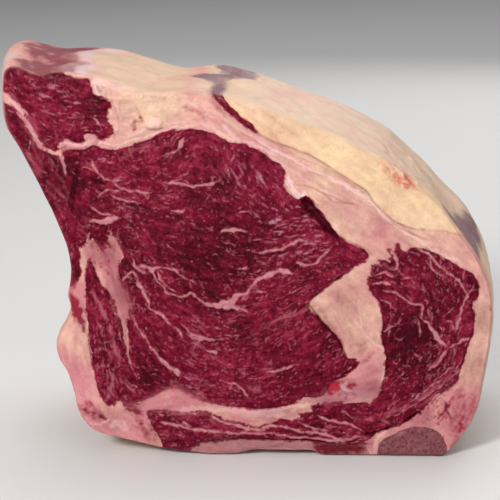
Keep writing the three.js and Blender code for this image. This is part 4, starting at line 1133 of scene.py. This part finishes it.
# The raw form: the outline drawn through the depth, bellied and lumpy.
def rawForm():
    around = len(roastLine)
    ringNumbers, ringPlaces = roast["ringMarks"]
    rings = ringNumbers[-1]
    bpy.ops.mesh.primitive_grid_add(x_subdivisions=around, y_subdivisions=rings, size=1)
    form = bpy.context.object
    form.name = "rawForm"
    flat = readPoints(form) * mm + 0.5
    place = np.rint(flat[:, 0] * around).astype(int) % around
    y = np.interp(flat[:, 1] * rings, ringNumbers, ringPlaces)
    x, z = roastLine[place].T
    normal = outlineNormals(roastLine)[place]

    behind = roast["halfDepth"] - np.abs(y)
    inset = np.interp(behind, roast["edgeBehind"], roast["edgeInset"])
    waveX, waveZ = roast["bellyWave"]
    depth = 2 * roast["halfDepth"]
    wave = 0.55 + 0.45 * np.sin(x / waveX + y / depth) * np.cos(z / waveZ)
    belly = roast["belly"] * wave * smoothStep(z, 4, 20) * np.cos(np.pi * y / depth)
    inward = smoothStep(behind, 2, 22)
    lumps = np.zeros(len(x))
    for atEdge, further, size, seed in roast["lumps"]:
        lumps += (atEdge + further * inward) * softNoise(x / size, z / size, seed, y / size)
    lumps -= (0.1 + 0.4 * inward) * creaseShare(x, y, z)
    lumps += scarShare(x, y, z) * (0.6 + 1.3 * scarGrain(x, y, z))
    grown = np.where(behind > 0, belly, 0) + lumps * smoothStep(z, 1, 8) - inset
    grown += patched([roast["shoulder"]], x, z) * (1 - smoothStep(y, *roast["shoulderEnd"]))
    grown += patched([roast["hollow"]], x, z)
    x = x + normal[:, 0] * grown
    z = np.maximum(z + normal[:, 1] * grown, 0)
    rising, falling = roast["troughSlopes"]
    across = smoothStep(x, roast["troughFrom"], roast["troughFrom"] + rising)
    across *= 1 - smoothStep(x, roast["troughTo"] - falling, roast["troughTo"])
    along = 0.5 + 0.5 * np.cos(2 * np.pi * y / roast["ribPitch"])
    z = z + roast["troughDepth"] * across * along * (1 - smoothStep(z, 0.5, 4))
    writePoints(form, np.stack([x, y, z], 1))

    startEditing(form)
    bpy.ops.mesh.remove_doubles(threshold=0.00001)
    bpy.ops.mesh.select_all(action="DESELECT")
    bpy.ops.mesh.select_non_manifold()
    bpy.ops.mesh.fill_holes(sides=0)
    leaveEditing()
    return form


# The block that a cut takes off: its inner side is the cut face with all its relief.
def sawnBlock(face, spacing, side):
    low = roastLine.min(0) - roast["sawReach"]
    high = roastLine.max(0) + roast["sawReach"]
    size = high - low
    bpy.ops.mesh.primitive_grid_add(
        x_subdivisions=round(size[0] / spacing), y_subdivisions=round(size[1] / spacing), size=1)
    block = bpy.context.object
    flat = readPoints(block) * mm + 0.5
    x = low[0] + flat[:, 0] * size[0]
    z = low[1] + flat[:, 1] * size[1]
    height = sample(face["height"], x, z)
    if side < 0:
        y = np.full(len(x), -roast["halfDepth"])
        height = height + scarShare(x, y, z) * (0.4 + 1.3 * scarGrain(x, y, z))
    y = side * (roast["halfDepth"] + height)
    writePoints(block, np.stack([x, y, z], 1))
    thicken(block, side * roast["blockOverruns"] * roast["overrun"])
    return block


# A knife in the shape of a piece's outline, right through the roast.
def knife(line):
    bpy.ops.mesh.primitive_circle_add(vertices=len(line), radius=0.1, fill_type="NGON")
    blade = bpy.context.object
    reach = roast["knifeReach"]
    writePoints(blade, np.stack([line[:, 0], np.full(len(line), -reach), line[:, 1]], 1))
    thicken(blade, 2 * reach)
    return blade


def cut(body, tool, operation):
    only(body)
    bpy.ops.object.modifier_add(type="BOOLEAN")
    modifier = body.modifiers[-1]
    modifier.operation = operation
    modifier.solver = "MANIFOLD"
    modifier.object = tool
    bpy.ops.object.modifier_apply(modifier=modifier.name)


def discard(tool):
    data = tool.data
    bpy.data.objects.remove(tool)
    bpy.data.meshes.remove(data)


rest = rawForm()
for face, spacing, side in (
    (frontFace, roast["frontSpacing"], -1), (backFace, roast["backSpacing"], 1),
):
    block = sawnBlock(face, spacing, side)
    cut(rest, block, "DIFFERENCE")
    discard(block)
stage(f"both faces sawn, {len(rest.data.polygons)} faces")

pieces = {}
for name, line in smoothOutlines.items():
    blade = knife(line)
    only(rest)
    bpy.ops.object.duplicate()
    piece = bpy.context.object
    cut(piece, blade, "INTERSECT")
    cut(rest, blade, "DIFFERENCE")
    discard(blade)
    pieces[name] = piece
pieces[remainder] = rest
stage("pieces cut")


# From straight section space into the frame.
shift = np.array([
    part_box("chine_bone")[0].x / mm - roast["boneEdge"],
    (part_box("fat_cap")[0].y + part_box("fat_cap")[1].y) / 2 / mm,
    0,
])


def carried(points):
    x, y, z = points.T
    t = (y + roast["halfDepth"]) / (2 * roast["halfDepth"])
    tail = smoothStep(-x, *roast["tailAcross"]) * smoothStep(z, *roast["tailUp"])
    u = (x - roast["driftCentre"][0]) / roast["driftReach"][0]
    v = (z - roast["driftCentre"][1]) / roast["driftReach"][1]
    inner = np.clip(1 - u * u - v * v, 0, 1) ** 2
    driftX, driftZ = roast["drift"]
    x = x + t * (driftX * inner - roast["tailSlant"] * tail)
    z = z + t * (driftZ * inner + roast["tailThickening"] * tail)
    return np.stack([x, y, z], 1) + shift


# Areas of the outside that aren't plain fat: what shows there, the axis they are measured
# on, centre and half width at the front and at the back, softness, amount, least and
# greatest height or, for the axis z, least and greatest x.
outerAreas = [
    ("purple", "x", -14.0, -15, 1.5, 13, 3.5, 1.0, 150, 220),
    ("purple", "z", 109, 104, 13, -8, 4, 1.25, 62, 130),
    ("purple", "x", -84, -87, 6, 7, 5, 0.6, 150, 220),
    ("meat", "x", -96, -92, 9, 10, 5, 1.05, 150, 220),
    ("rosy", "x", -92, -92, 18, 18, 6, 0.85, 150, 220),
    ("rosy", "z", 132, 130, 48, 42, 12, 0.9, -140, -70),
    ("pale", "x", -122, -124, 10, 12, 6, 0.75, 150, 220),
    ("rosy", "x", -118, -120, 16, 14, 6, 0.8, 150, 220),
    ("rosy", "x", 14, 24, 6, 10, 8, 0.3, 140, 220),
    ("rosy", "x", -26, -34, 6, 8, 5, 0.6, 150, 220),
    ("rosy", "z", 60, 56, 26, 22, 10, 0.7, -140, -60),
    ("purple", "z", 116, 112, 20, 16, 12, 0.5, -140, -60),
    ("meat", "z", 134, 130, 42, 36, 12, 1.0, -140, -70),
    ("meat", "z", 74, 70, 7, 4, 5, 0.75, -140, -60),
    ("meat", "z", 20, 16, 5, 7, 5, 0.5, -140, -60),
    ("meat", "z", 14, 22, 12, 9, 8, 0.55, 84, 130),
    ("meat", "x", -40, -44, 9, 8, 4, 0.7, -5, 12),
    ("meat", "x", 14, 12, 20, 22, 6, 0.4, -5, 12),
    ("pale", "x", -76, -78, 1, 5, 3, 0.9, 150, 220),
    ("pale", "x", -5, -5, 48, 48, 6, 0.5, -5, 10),
    ("pale", "z", 104, 96, 14, 20, 9, 0.35, -140, -60),
]


# The vertex layers and what their four channels carry.
layers = {
    "marks": ("vein", "fleck", "crack", "blood"),
    "shade": ("tone", "warmthAndSheen", "pale", "skin"),
}


def areaShare(wanted, x, y, z):
    t = (y + roast["halfDepth"]) / (2 * roast["halfDepth"])
    wobble = softNoise(x / 11, z / 11, 56, y / 24) + 0.5 * softNoise(x / 4, z / 4, 57, y / 14)
    sway = 9 * softNoise(x / 44, z / 44, 58, y / 27) + 5 * softNoise(x / 16, z / 16, 59, y / 13)
    sway *= smoothStep(t, 0.02, 0.3) * (1 - 0.7 * smoothStep(t, 0.85, 1))
    share = np.zeros(len(x))
    for shown, axis, front, rear, halfFront, halfRear, soft, amount, low, high in outerAreas:
        if shown != wanted:
            continue
        along, other = (x, z) if axis == "x" else (z, x)
        inside = between(halfFront, halfRear, t)
        inside = inside - np.abs(along + sway - front - (rear - front) * t) + 0.6 * soft * wobble
        part = amount * smoothStep(inside, -soft, soft) * ((other > low) & (other < high))
        share = np.maximum(share, part)
    return share


# The values that a piece's vertices carry: cut face, torn spot and outside.
def paintPiece(piece, inMeat):
    points = readPoints(piece)
    x, y, z = points.T
    behind = roast["halfDepth"] - np.abs(y) + 0.7 * softNoise(x / 2.5, z / 2.5, 50, y / 2.5)
    away = sample(rim, x, z)
    torn = scarShare(x, y, z)
    skin = smoothStep(behind, 0.6, 3.4 + 5 * smoothStep(x, -20, 30) * smoothStep(z, 90, 120))
    skin *= (1 - smoothStep(away, 1.2, 4)) * (1 - torn)
    values = {}
    for key in ("vein", "fleck", "crack", "blood", "tone", "warmthAndSheen", "pale"):
        shown = "silver" if key == "fleck" and not inMeat else key
        front, back = (sample(face[shown], x, z) for face in (frontFace, backFace))
        values[key] = np.where(y < 0, front, back)
    flakes = scarGrain(x, y, z)
    red = smoothStep(x, scar["centre"][0] - 6, scar["centre"][0] + 2)
    # the torn spot: blood, painted shade between the flakes, and paler flakes
    ofScar = {
        "blood": 0.2 + 0.6 * red * smoothStep(-flakes, -0.5, 0.6),
        "crack": 0.75 * smoothStep(-flakes, 0.25, 0.8),
        "pale": 0.95 * smoothStep(flakes, 0, 0.6),
    }
    for key, value in ofScar.items():
        values[key] = between(values[key], value, torn)

    coarse = softNoise(x / 14, z / 14, 52, y / 20)
    fine = softNoise(x / 4, z / 4, 53, y / 9) + 0.5 * softNoise(x / 2.2, z / 2.2, 54, y / 6)
    wrinkle = creaseShare(x, y, z)
    # the outside's wrinkles are painted darker, as painted shade, and rosier
    ofSkin = {
        "vein": np.full(len(x), -1.0),
        "fleck": areaShare("meat", x, y, z) * (0.85 + 0.3 * fine),
        "crack": np.maximum(areaShare("rosy", x, y, z), 0.3 * wrinkle),
        "blood": areaShare("purple", x, y, z) * (0.9 + 0.25 * fine),
        "tone": 0.5 * coarse + 0.35 * fine - 0.35 * wrinkle,
        "warmthAndSheen": 0.5 * softNoise(x / 18, z / 18, 55, y / 18) + 0.2 * fine,
        "pale": areaShare("pale", x, y, z),
    }
    for key, value in ofSkin.items():
        values[key] = between(values[key], value, skin)
    values["skin"] = skin
    values["vein"] = values["vein"].clip(-1, 1) * 0.5 + 0.5
    for key in ("fleck", "blood"):
        values[key] = values[key].clip(0, 1)
    for key in ("tone", "warmthAndSheen"):
        values[key] = values[key].clip(-1.5, 1.5) / 3 + 0.5
    for title, keys in layers.items():
        columns = np.stack([values[key] for key in keys], 1).astype(np.float32)
        layer = piece.data.attributes.new(title, "FLOAT_COLOR", "POINT")
        layer.data.foreach_set("color", columns.ravel())
    writePoints(piece, carried(points))


def fed(tree, node, inputs):
    for key, value in inputs.items():
        if isinstance(value, bpy.types.NodeSocket):
            tree.links.new(value, node.inputs[key])
        else:
            node.inputs[key].default_value = value
    return node


def linked(tree, kind, inputs, **settings):
    node = tree.nodes.new(kind)
    for key, value in settings.items():
        setattr(node, key, value)
    return fed(tree, node, inputs)


def nodeGroup(name, inputs, outputs):
    group = bpy.data.node_groups.new(name, "ShaderNodeTree")
    for title, value in inputs.items():
        socket = group.interface.new_socket(title, in_out="INPUT", socket_type="NodeSocketFloat")
        socket.default_value = value
    for title, kind in outputs.items():
        group.interface.new_socket(title, in_out="OUTPUT", socket_type=kind)
    entry, leave = (group.nodes.new("NodeGroup" + end) for end in ("Input", "Output"))
    return group, entry.outputs, leave


def mapped(tree, value, low, high, toLow=0.0, toHigh=1.0, smooth=False):
    node = linked(tree, "ShaderNodeMapRange", {0: value, 1: low, 2: high, 3: toLow, 4: toHigh},
                  interpolation_type="SMOOTHSTEP" if smooth else "LINEAR")
    return node.outputs[0]


def added(tree, a, b, operation="ADD"):
    return linked(tree, "ShaderNodeMath", {0: a, 1: b}, operation=operation).outputs[0]


def times(tree, a, b):
    return added(tree, a, b, "MULTIPLY")


# A value made uneven by a grain, up or down by the amount.
def uneven(tree, value, grain, amount, low=0.3):
    return added(tree, value, mapped(tree, grain, low, 1 - low, -amount, amount))


def blended(tree, share, a, b, way="MIX"):
    node = linked(tree, "ShaderNodeMix", {0: share, 6: a, 7: b}, data_type="RGBA", blend_type=way)
    return node.outputs[2]


# Colours laid over the first, each with its share.
def layered(tree, colour, *over):
    for share, other in over:
        colour = blended(tree, share, colour, other)
    return colour


def ramped(tree, value, low, middle, high):
    ramp = linked(tree, "ShaderNodeValToRGB", {0: value})
    stops = ramp.color_ramp.elements
    for stop, (place, colour) in zip(stops, (low, high)):
        stop.position, stop.color = place, colour
    stops.new(middle[0]).color = middle[1]
    return ramp.outputs[0]


def placeIn(tree):
    return tree.nodes.new("ShaderNodeTexCoord").outputs["Object"]


# Fine unevenness that every part of the roast shares: a value round 0.5 and a height.
def fineGrainGroup():
    group, value, leave = nodeGroup(
        "fineGrain", {"Size": 1.0, "Roughness": 0.6},
        {"Value": "NodeSocketFloat", "Height": "NodeSocketFloat"})
    place = placeIn(group)
    scale = added(group, 1000.0, value["Size"], "DIVIDE")
    fine, coarse = (linked(group, "ShaderNodeTexNoise", inputs).outputs["Fac"] for inputs in (
        {"Vector": place, "Scale": scale, "Detail": 3.0, "Roughness": value["Roughness"]},
        {"Vector": place, "Scale": times(group, scale, 0.28), "Detail": 2.0}))
    fed(group, leave, {"Value": fine, "Height": added(group, fine, times(group, coarse, 1.5))})
    return group


fineGrain = fineGrainGroup()

outside = {
    "cream": (0.72, 0.49, 0.325, 1),
    "dull": (0.64, 0.42, 0.285, 1),
    "rosy": (0.68, 0.30, 0.28, 1),
    "purple": (0.215, 0.10, 0.12, 1),
    "meat": (0.25, 0.055, 0.07, 1),
    "pale": (0.66, 0.47, 0.45, 1),
}
# What each input of the outside's colour reads on the outside.
outsideInputs = {
    "Tone": "tone", "Warm": "warmthAndSheen", "Rosy": "crack", "Purple": "blood", "Meat": "fleck",
    "Pale": "pale",
}


# The colour of the uncut outside, the same on every piece.
def outsideGroup():
    group, value, leave = nodeGroup(
        "outsideColour", dict.fromkeys([*outsideInputs, "Grain"], 0.5),
        {"Color": "NodeSocketColor"})
    tone = uneven(group, value["Tone"], value["Grain"], 0.1)
    colour = layered(
        group, outside["dull"], (mapped(group, tone, 0.3, 0.62), outside["cream"]),
        (mapped(group, value["Warm"], 0.5, 0.3, 0, 0.3), outside["rosy"]))
    drawn = linked(group, "ShaderNodeVectorMath", {0: placeIn(group), 1: (1, 0.3, 1)},
                   operation="MULTIPLY").outputs[0]
    for index, title in enumerate(("Rosy", "Purple", "Meat", "Pale")):
        patches = linked(group, "ShaderNodeTexNoise", {
            "Vector": drawn, "Scale": 70.0 + 30.0 * index, "Detail": 3.0, "Roughness": 0.55,
            "Distortion": 0.3})
        broken = uneven(group, value[title], patches.outputs["Fac"], 0.25)
        broken = mapped(group, broken, 0.1, 0.85, 0, 0.95)
        share = times(group, broken, mapped(group, value[title], 0.02, 0.2))
        colour = blended(group, share, colour, outside[title.lower()])
    fed(group, leave, {"Color": colour})
    return group


outsideColour = outsideGroup()


def startMaterial(name):
    material = bpy.data.materials.new(name)
    material.use_nodes = True
    tree = material.node_tree
    mark = {}
    for title, keys in layers.items():
        node = linked(tree, "ShaderNodeAttribute", {}, attribute_name=title)
        split = linked(tree, "ShaderNodeSeparateColor", {0: node.outputs["Color"]})
        mark.update(zip(keys, [*split.outputs, node.outputs["Alpha"]]))
    return material, tree, mark


def surfaceOf(material):
    return next(n for n in material.node_tree.nodes if n.type == "BSDF_PRINCIPLED")


def grainOf(tree, size, roughness=0.6):
    inputs = {"Size": size, "Roughness": roughness}
    node = linked(tree, "ShaderNodeGroup", inputs, node_tree=fineGrain)
    return node.outputs["Value"], node.outputs["Height"]


# The outside's colour laid over the cut's, and everything put on the surface.
def dressed(material, mark, colour, grain, height, relief, rough, look):
    tree = material.node_tree
    sockets = {title: mark[key] for title, key in outsideInputs.items()}
    sockets["Grain"] = grain
    ofSkin = linked(tree, "ShaderNodeGroup", sockets, node_tree=outsideColour)
    bump = linked(tree, "ShaderNodeBump", {
        "Height": height, "Distance": relief * mm, "Strength": 1.0}).outputs[0]
    fed(tree, surfaceOf(material), {
        "Base Color": blended(tree, mark["skin"], colour, ofSkin.outputs["Color"]),
        "Roughness": mapped(tree, grain, 0.3, 0.7, *rough),
        "Normal": bump, "Coat Normal": bump, **look})
    return material


meat = {
    "deep": (0.046, 0.0003, 0.0042, 1),
    "red": (0.142, 0.0032, 0.0175, 1),
    "bright": (0.32, 0.022, 0.06, 1),
    "paintedSheen": (0.42, 0.20, 0.27, 1),
    "fat": (0.55, 0.235, 0.255, 1),
    "paleFat": (0.62, 0.29, 0.27, 1),
    "pinkFat": (0.40, 0.11, 0.14, 1),
    "shadow": (0.042, 0.0006, 0.004, 1),
}


def muscleMaterial():
    material, tree, mark = startMaterial("rawMuscle")
    value, height = grainOf(tree, 0.5, 0.7)
    middle, _ = grainOf(tree, 1.6)
    tone = uneven(tree, uneven(tree, mark["tone"], value, 0.13, 0.25), middle, 0.07, 0.25)
    red = ramped(tree, tone, (0.22, meat["deep"]), (0.5, meat["red"]), (0.84, meat["bright"]))
    # painted sheen: a pale lilac painted highlight where the warmth-and-sheen channel is high; the
    # shadow colour is painted shade along the cracks
    sheen = mapped(tree, uneven(tree, mark["warmthAndSheen"], value, 0.06), 0.54, 0.86, 0, 0.8)
    fleck = times(tree, mark["fleck"], mapped(tree, value, 0.3, 0.7, 0.6, 1.2))
    edge = uneven(tree, mark["vein"], value, 0.1, 0.2)
    vein = mapped(tree, edge, 0.4, 0.72, smooth=True)
    body = mapped(tree, middle, 0.3, 0.68, 1.0, 0.6)
    ofFat = layered(
        tree, meat["pinkFat"], (mapped(tree, edge, 0.6, 0.88), meat["fat"]),
        (mapped(tree, mark["warmthAndSheen"], 0.44, 0.2), meat["paleFat"]))
    colour = layered(
        tree, red, (sheen, meat["paintedSheen"]),
        (mapped(tree, fleck, 0.1, 0.85, 0, 0.8), meat["pinkFat"]),
        (times(tree, vein, body), ofFat), (times(tree, mark["crack"], 0.8), meat["shadow"]))
    return dressed(material, mark, colour, value, height, 0.26, (0.24, 0.46), {
        "Subsurface Weight": 0.1, "Subsurface Radius": (1.0, 0.25, 0.2),
        "Subsurface Scale": 1.2 * mm, "IOR": 1.37, "Specular IOR Level": 0.04,
        "Coat Weight": 0.1, "Coat Roughness": 0.12, "Coat IOR": 1.4})


def fatMaterial(name, fat):
    material, tree, mark = startMaterial(name)
    value, height = grainOf(tree, 0.8, 0.65)
    middle, _ = grainOf(tree, 2.6)
    warmth = uneven(tree, mark["warmthAndSheen"], middle, 0.07)
    plain = ramped(tree, warmth, (0.2, fat["pink"]), (0.5, fat["plain"]), (0.8, fat["yellow"]))
    tone = uneven(tree, mark["tone"], value, 0.08)
    stain = times(tree, mark["blood"], mapped(tree, value, 0.3, 0.7, 0.7, 1.25))
    ofBlood = blended(tree, mapped(tree, tone, 0.45, 0.8), fat["stain"], fat["blood"])
    # low tone dims the fat, as painted shade in the kernel's recess; the crease colour is painted
    # shade along the cracks and between the torn spot's flakes
    colour = layered(
        tree, blended(tree, 1.0, plain, fat["dimming"], "MULTIPLY"),
        (mapped(tree, tone, 0.12, 0.62), plain), (times(tree, mark["pale"], 0.6), fat["pale"]),
        (times(tree, mark["fleck"], 0.75), fat["silver"]),
        (mapped(tree, stain, 0.08, 0.85), ofBlood),
        (times(tree, mark["crack"], 0.7), fat["creaseShade"]))
    return dressed(material, mark, colour, value, height, 0.14, (0.34, 0.52), {
        "Subsurface Weight": 0.18, "Subsurface Radius": (1.0, 0.5, 0.35),
        "Subsurface Scale": 2.4 * mm, "IOR": 1.42, "Specular IOR Level": 0.24})


creamFat = {
    "pink": (0.72, 0.38, 0.27, 1), "plain": (0.78, 0.54, 0.36, 1),
    "yellow": (0.80, 0.59, 0.36, 1), "pale": (0.86, 0.70, 0.53, 1),
    "dimming": (0.66, 0.55, 0.50, 1), "stain": (0.60, 0.10, 0.07, 1),
    "blood": (0.72, 0.21, 0.12, 1), "creaseShade": (0.42, 0.16, 0.07, 1),
    "silver": (0.56, 0.42, 0.42, 1),
}
pinkFat = {
    "pink": (0.60, 0.225, 0.245, 1), "plain": (0.67, 0.37, 0.30, 1),
    "yellow": (0.76, 0.52, 0.365, 1), "pale": (0.82, 0.55, 0.52, 1),
    "dimming": (0.52, 0.42, 0.43, 1), "stain": (0.20, 0.010, 0.027, 1),
    "blood": (0.40, 0.008, 0.03, 1), "creaseShade": (0.20, 0.03, 0.022, 1),
    "silver": (0.34, 0.17, 0.19, 1),
}
membraneFat = {
    "pink": (0.40, 0.14, 0.15, 1), "plain": (0.46, 0.21, 0.21, 1),
    "yellow": (0.52, 0.30, 0.26, 1), "pale": (0.62, 0.42, 0.41, 1),
    "dimming": (0.42, 0.25, 0.27, 1), "stain": (0.12, 0.004, 0.012, 1),
    "blood": (0.25, 0.010, 0.024, 1), "creaseShade": (0.12, 0.006, 0.01, 1),
    "silver": (0.42, 0.28, 0.29, 1),
}

bone = {
    "plain": (0.24, 0.068, 0.075, 1), "dark": (0.07, 0.011, 0.018, 1),
    "grey": (0.31, 0.14, 0.14, 1), "rim": (0.42, 0.16, 0.17, 1),
    "crack": (0.08, 0.01, 0.012, 1), "poreSize": 1.9,
}


def boneMaterial():
    material, tree, mark = startMaterial("choppedBone")
    value, height = grainOf(tree, 0.9, 0.8)
    middle, _ = grainOf(tree, 3.0)
    pores = linked(tree, "ShaderNodeTexVoronoi", {
        "Vector": placeIn(tree), "Scale": 1000 / bone["poreSize"]})
    speck = mapped(tree, pores.outputs["Distance"], 0.1, 0.55)
    edge = uneven(tree, mark["tone"], middle, 0.12)
    # the crack colour is painted shade along the dark lines over the bone
    colour = layered(
        tree, bone["dark"], (0.25, bone["plain"]), (speck, bone["plain"]),
        (mapped(tree, value, 0.58, 0.4, 0, 0.6), bone["dark"]),
        (mapped(tree, middle, 0.5, 0.68, 0, 0.35), bone["grey"]),
        (mapped(tree, edge, 0.56, 0.84, 0, 0.85), bone["rim"]),
        (times(tree, mark["crack"], 0.8), bone["crack"]))
    return dressed(material, mark, colour, value, added(tree, height, speck), 0.2, (0.5, 0.7), {
        "Subsurface Weight": 0.08, "Subsurface Scale": 1 * mm, "Specular IOR Level": 0.25})


materialOf = {
    "muscle": muscleMaterial(),
    "cream_fat": fatMaterial("creamFat", creamFat),
    "pink_fat": fatMaterial("pinkFat", pinkFat),
    "membrane": fatMaterial("ribMembrane", membraneFat),
    "bone": boneMaterial(),
}
stage("materials made")

for name, piece in pieces.items():
    piece.name = "roast_" + name
    paintPiece(piece, name in muscles)
    piece.data.materials.clear()
    piece.data.materials.append(materialOf[slotOf[name]])
    only(piece)
    bpy.ops.object.shade_smooth_by_angle(angle=math.radians(roast["smoothAngle"]))
    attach(piece, "root")
    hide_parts(name)
    print(piece.name, len(piece.data.polygons), "faces")
stage("pieces painted")


floor = {"size": 14.0, "colour": (0.72, 0.71, 0.70, 1), "roughness": 0.8}
bpy.ops.mesh.primitive_plane_add(size=floor["size"])
ground = bpy.context.object
ground.name = "floor"
paper = bpy.data.materials.new("paleFloor")
paper.use_nodes = True
fed(paper.node_tree, surfaceOf(paper), {
    "Base Color": floor["colour"], "Roughness": floor["roughness"]})
ground.data.materials.append(paper)

# Large soft lights: name, place, size, watts.
lamps = [
    ("keyLight", (-0.55, -1.2, 0.85), 0.3, 18.4),
    ("fillLight", (0.9, -1.0, 0.6), 1.0, 4.6),
    ("topLight", (0.1, 0.2, 1.3), 0.9, 4),
    ("skyLight", (0.1, 1.4, 3.0), 3.0, 28),
    ("backLight", (0.4, 1.3, 0.8), 1.0, 4.5),
]
aim = Vector((0, 0, 0.09))
sky = {"colour": (0.9, 0.9, 0.92, 1), "strength": 0.25}
for name, place, size, watts in lamps:
    bpy.ops.object.light_add(type="AREA", location=place)
    lamp = bpy.context.object
    lamp.name = name
    lamp.data.size = size
    lamp.data.energy = watts
    lamp.rotation_euler = (aim - Vector(place)).to_track_quat("-Z", "Y").to_euler()

world = bpy.data.worlds.new("studio")
bpy.context.scene.world = world
world.use_nodes = True
backdrop = next(n for n in world.node_tree.nodes if n.type == "BACKGROUND")
fed(world.node_tree, backdrop, {"Color": sky["colour"], "Strength": sky["strength"]})
bpy.context.scene.view_settings.view_transform = "Standard"

# The camera stands in front, a little to the right and above, and is rolled a little.
view = {
    "target": (-5.0, 0.0, 90.5), "distance": 780.0, "azimuth": 6.0, "elevation": 13.0,
    "roll": 1.7, "lens": 110.15,
}
azimuth, elevation = math.radians(view["azimuth"]), math.radians(view["elevation"])
back = Vector((
    math.sin(azimuth) * math.cos(elevation),
    -math.cos(azimuth) * math.cos(elevation),
    math.sin(elevation),
))
across = (-back).cross(Vector((0, 0, 1))).normalized()
upright = back.cross(across)
roll = math.radians(view["roll"])
right = across * math.cos(roll) - upright * math.sin(roll)
up = upright * math.cos(roll) + across * math.sin(roll)
bpy.ops.object.camera_add()
camera = bpy.context.object
camera.data.lens = view["lens"]
place = Vector(view["target"]) + back * view["distance"] + Vector(shift.tolist())
camera.matrix_world = Matrix.Translation(place * mm) @ Matrix((right, up, back)).transposed().to_4x4()
bpy.context.scene.camera = camera
stage("studio set up")
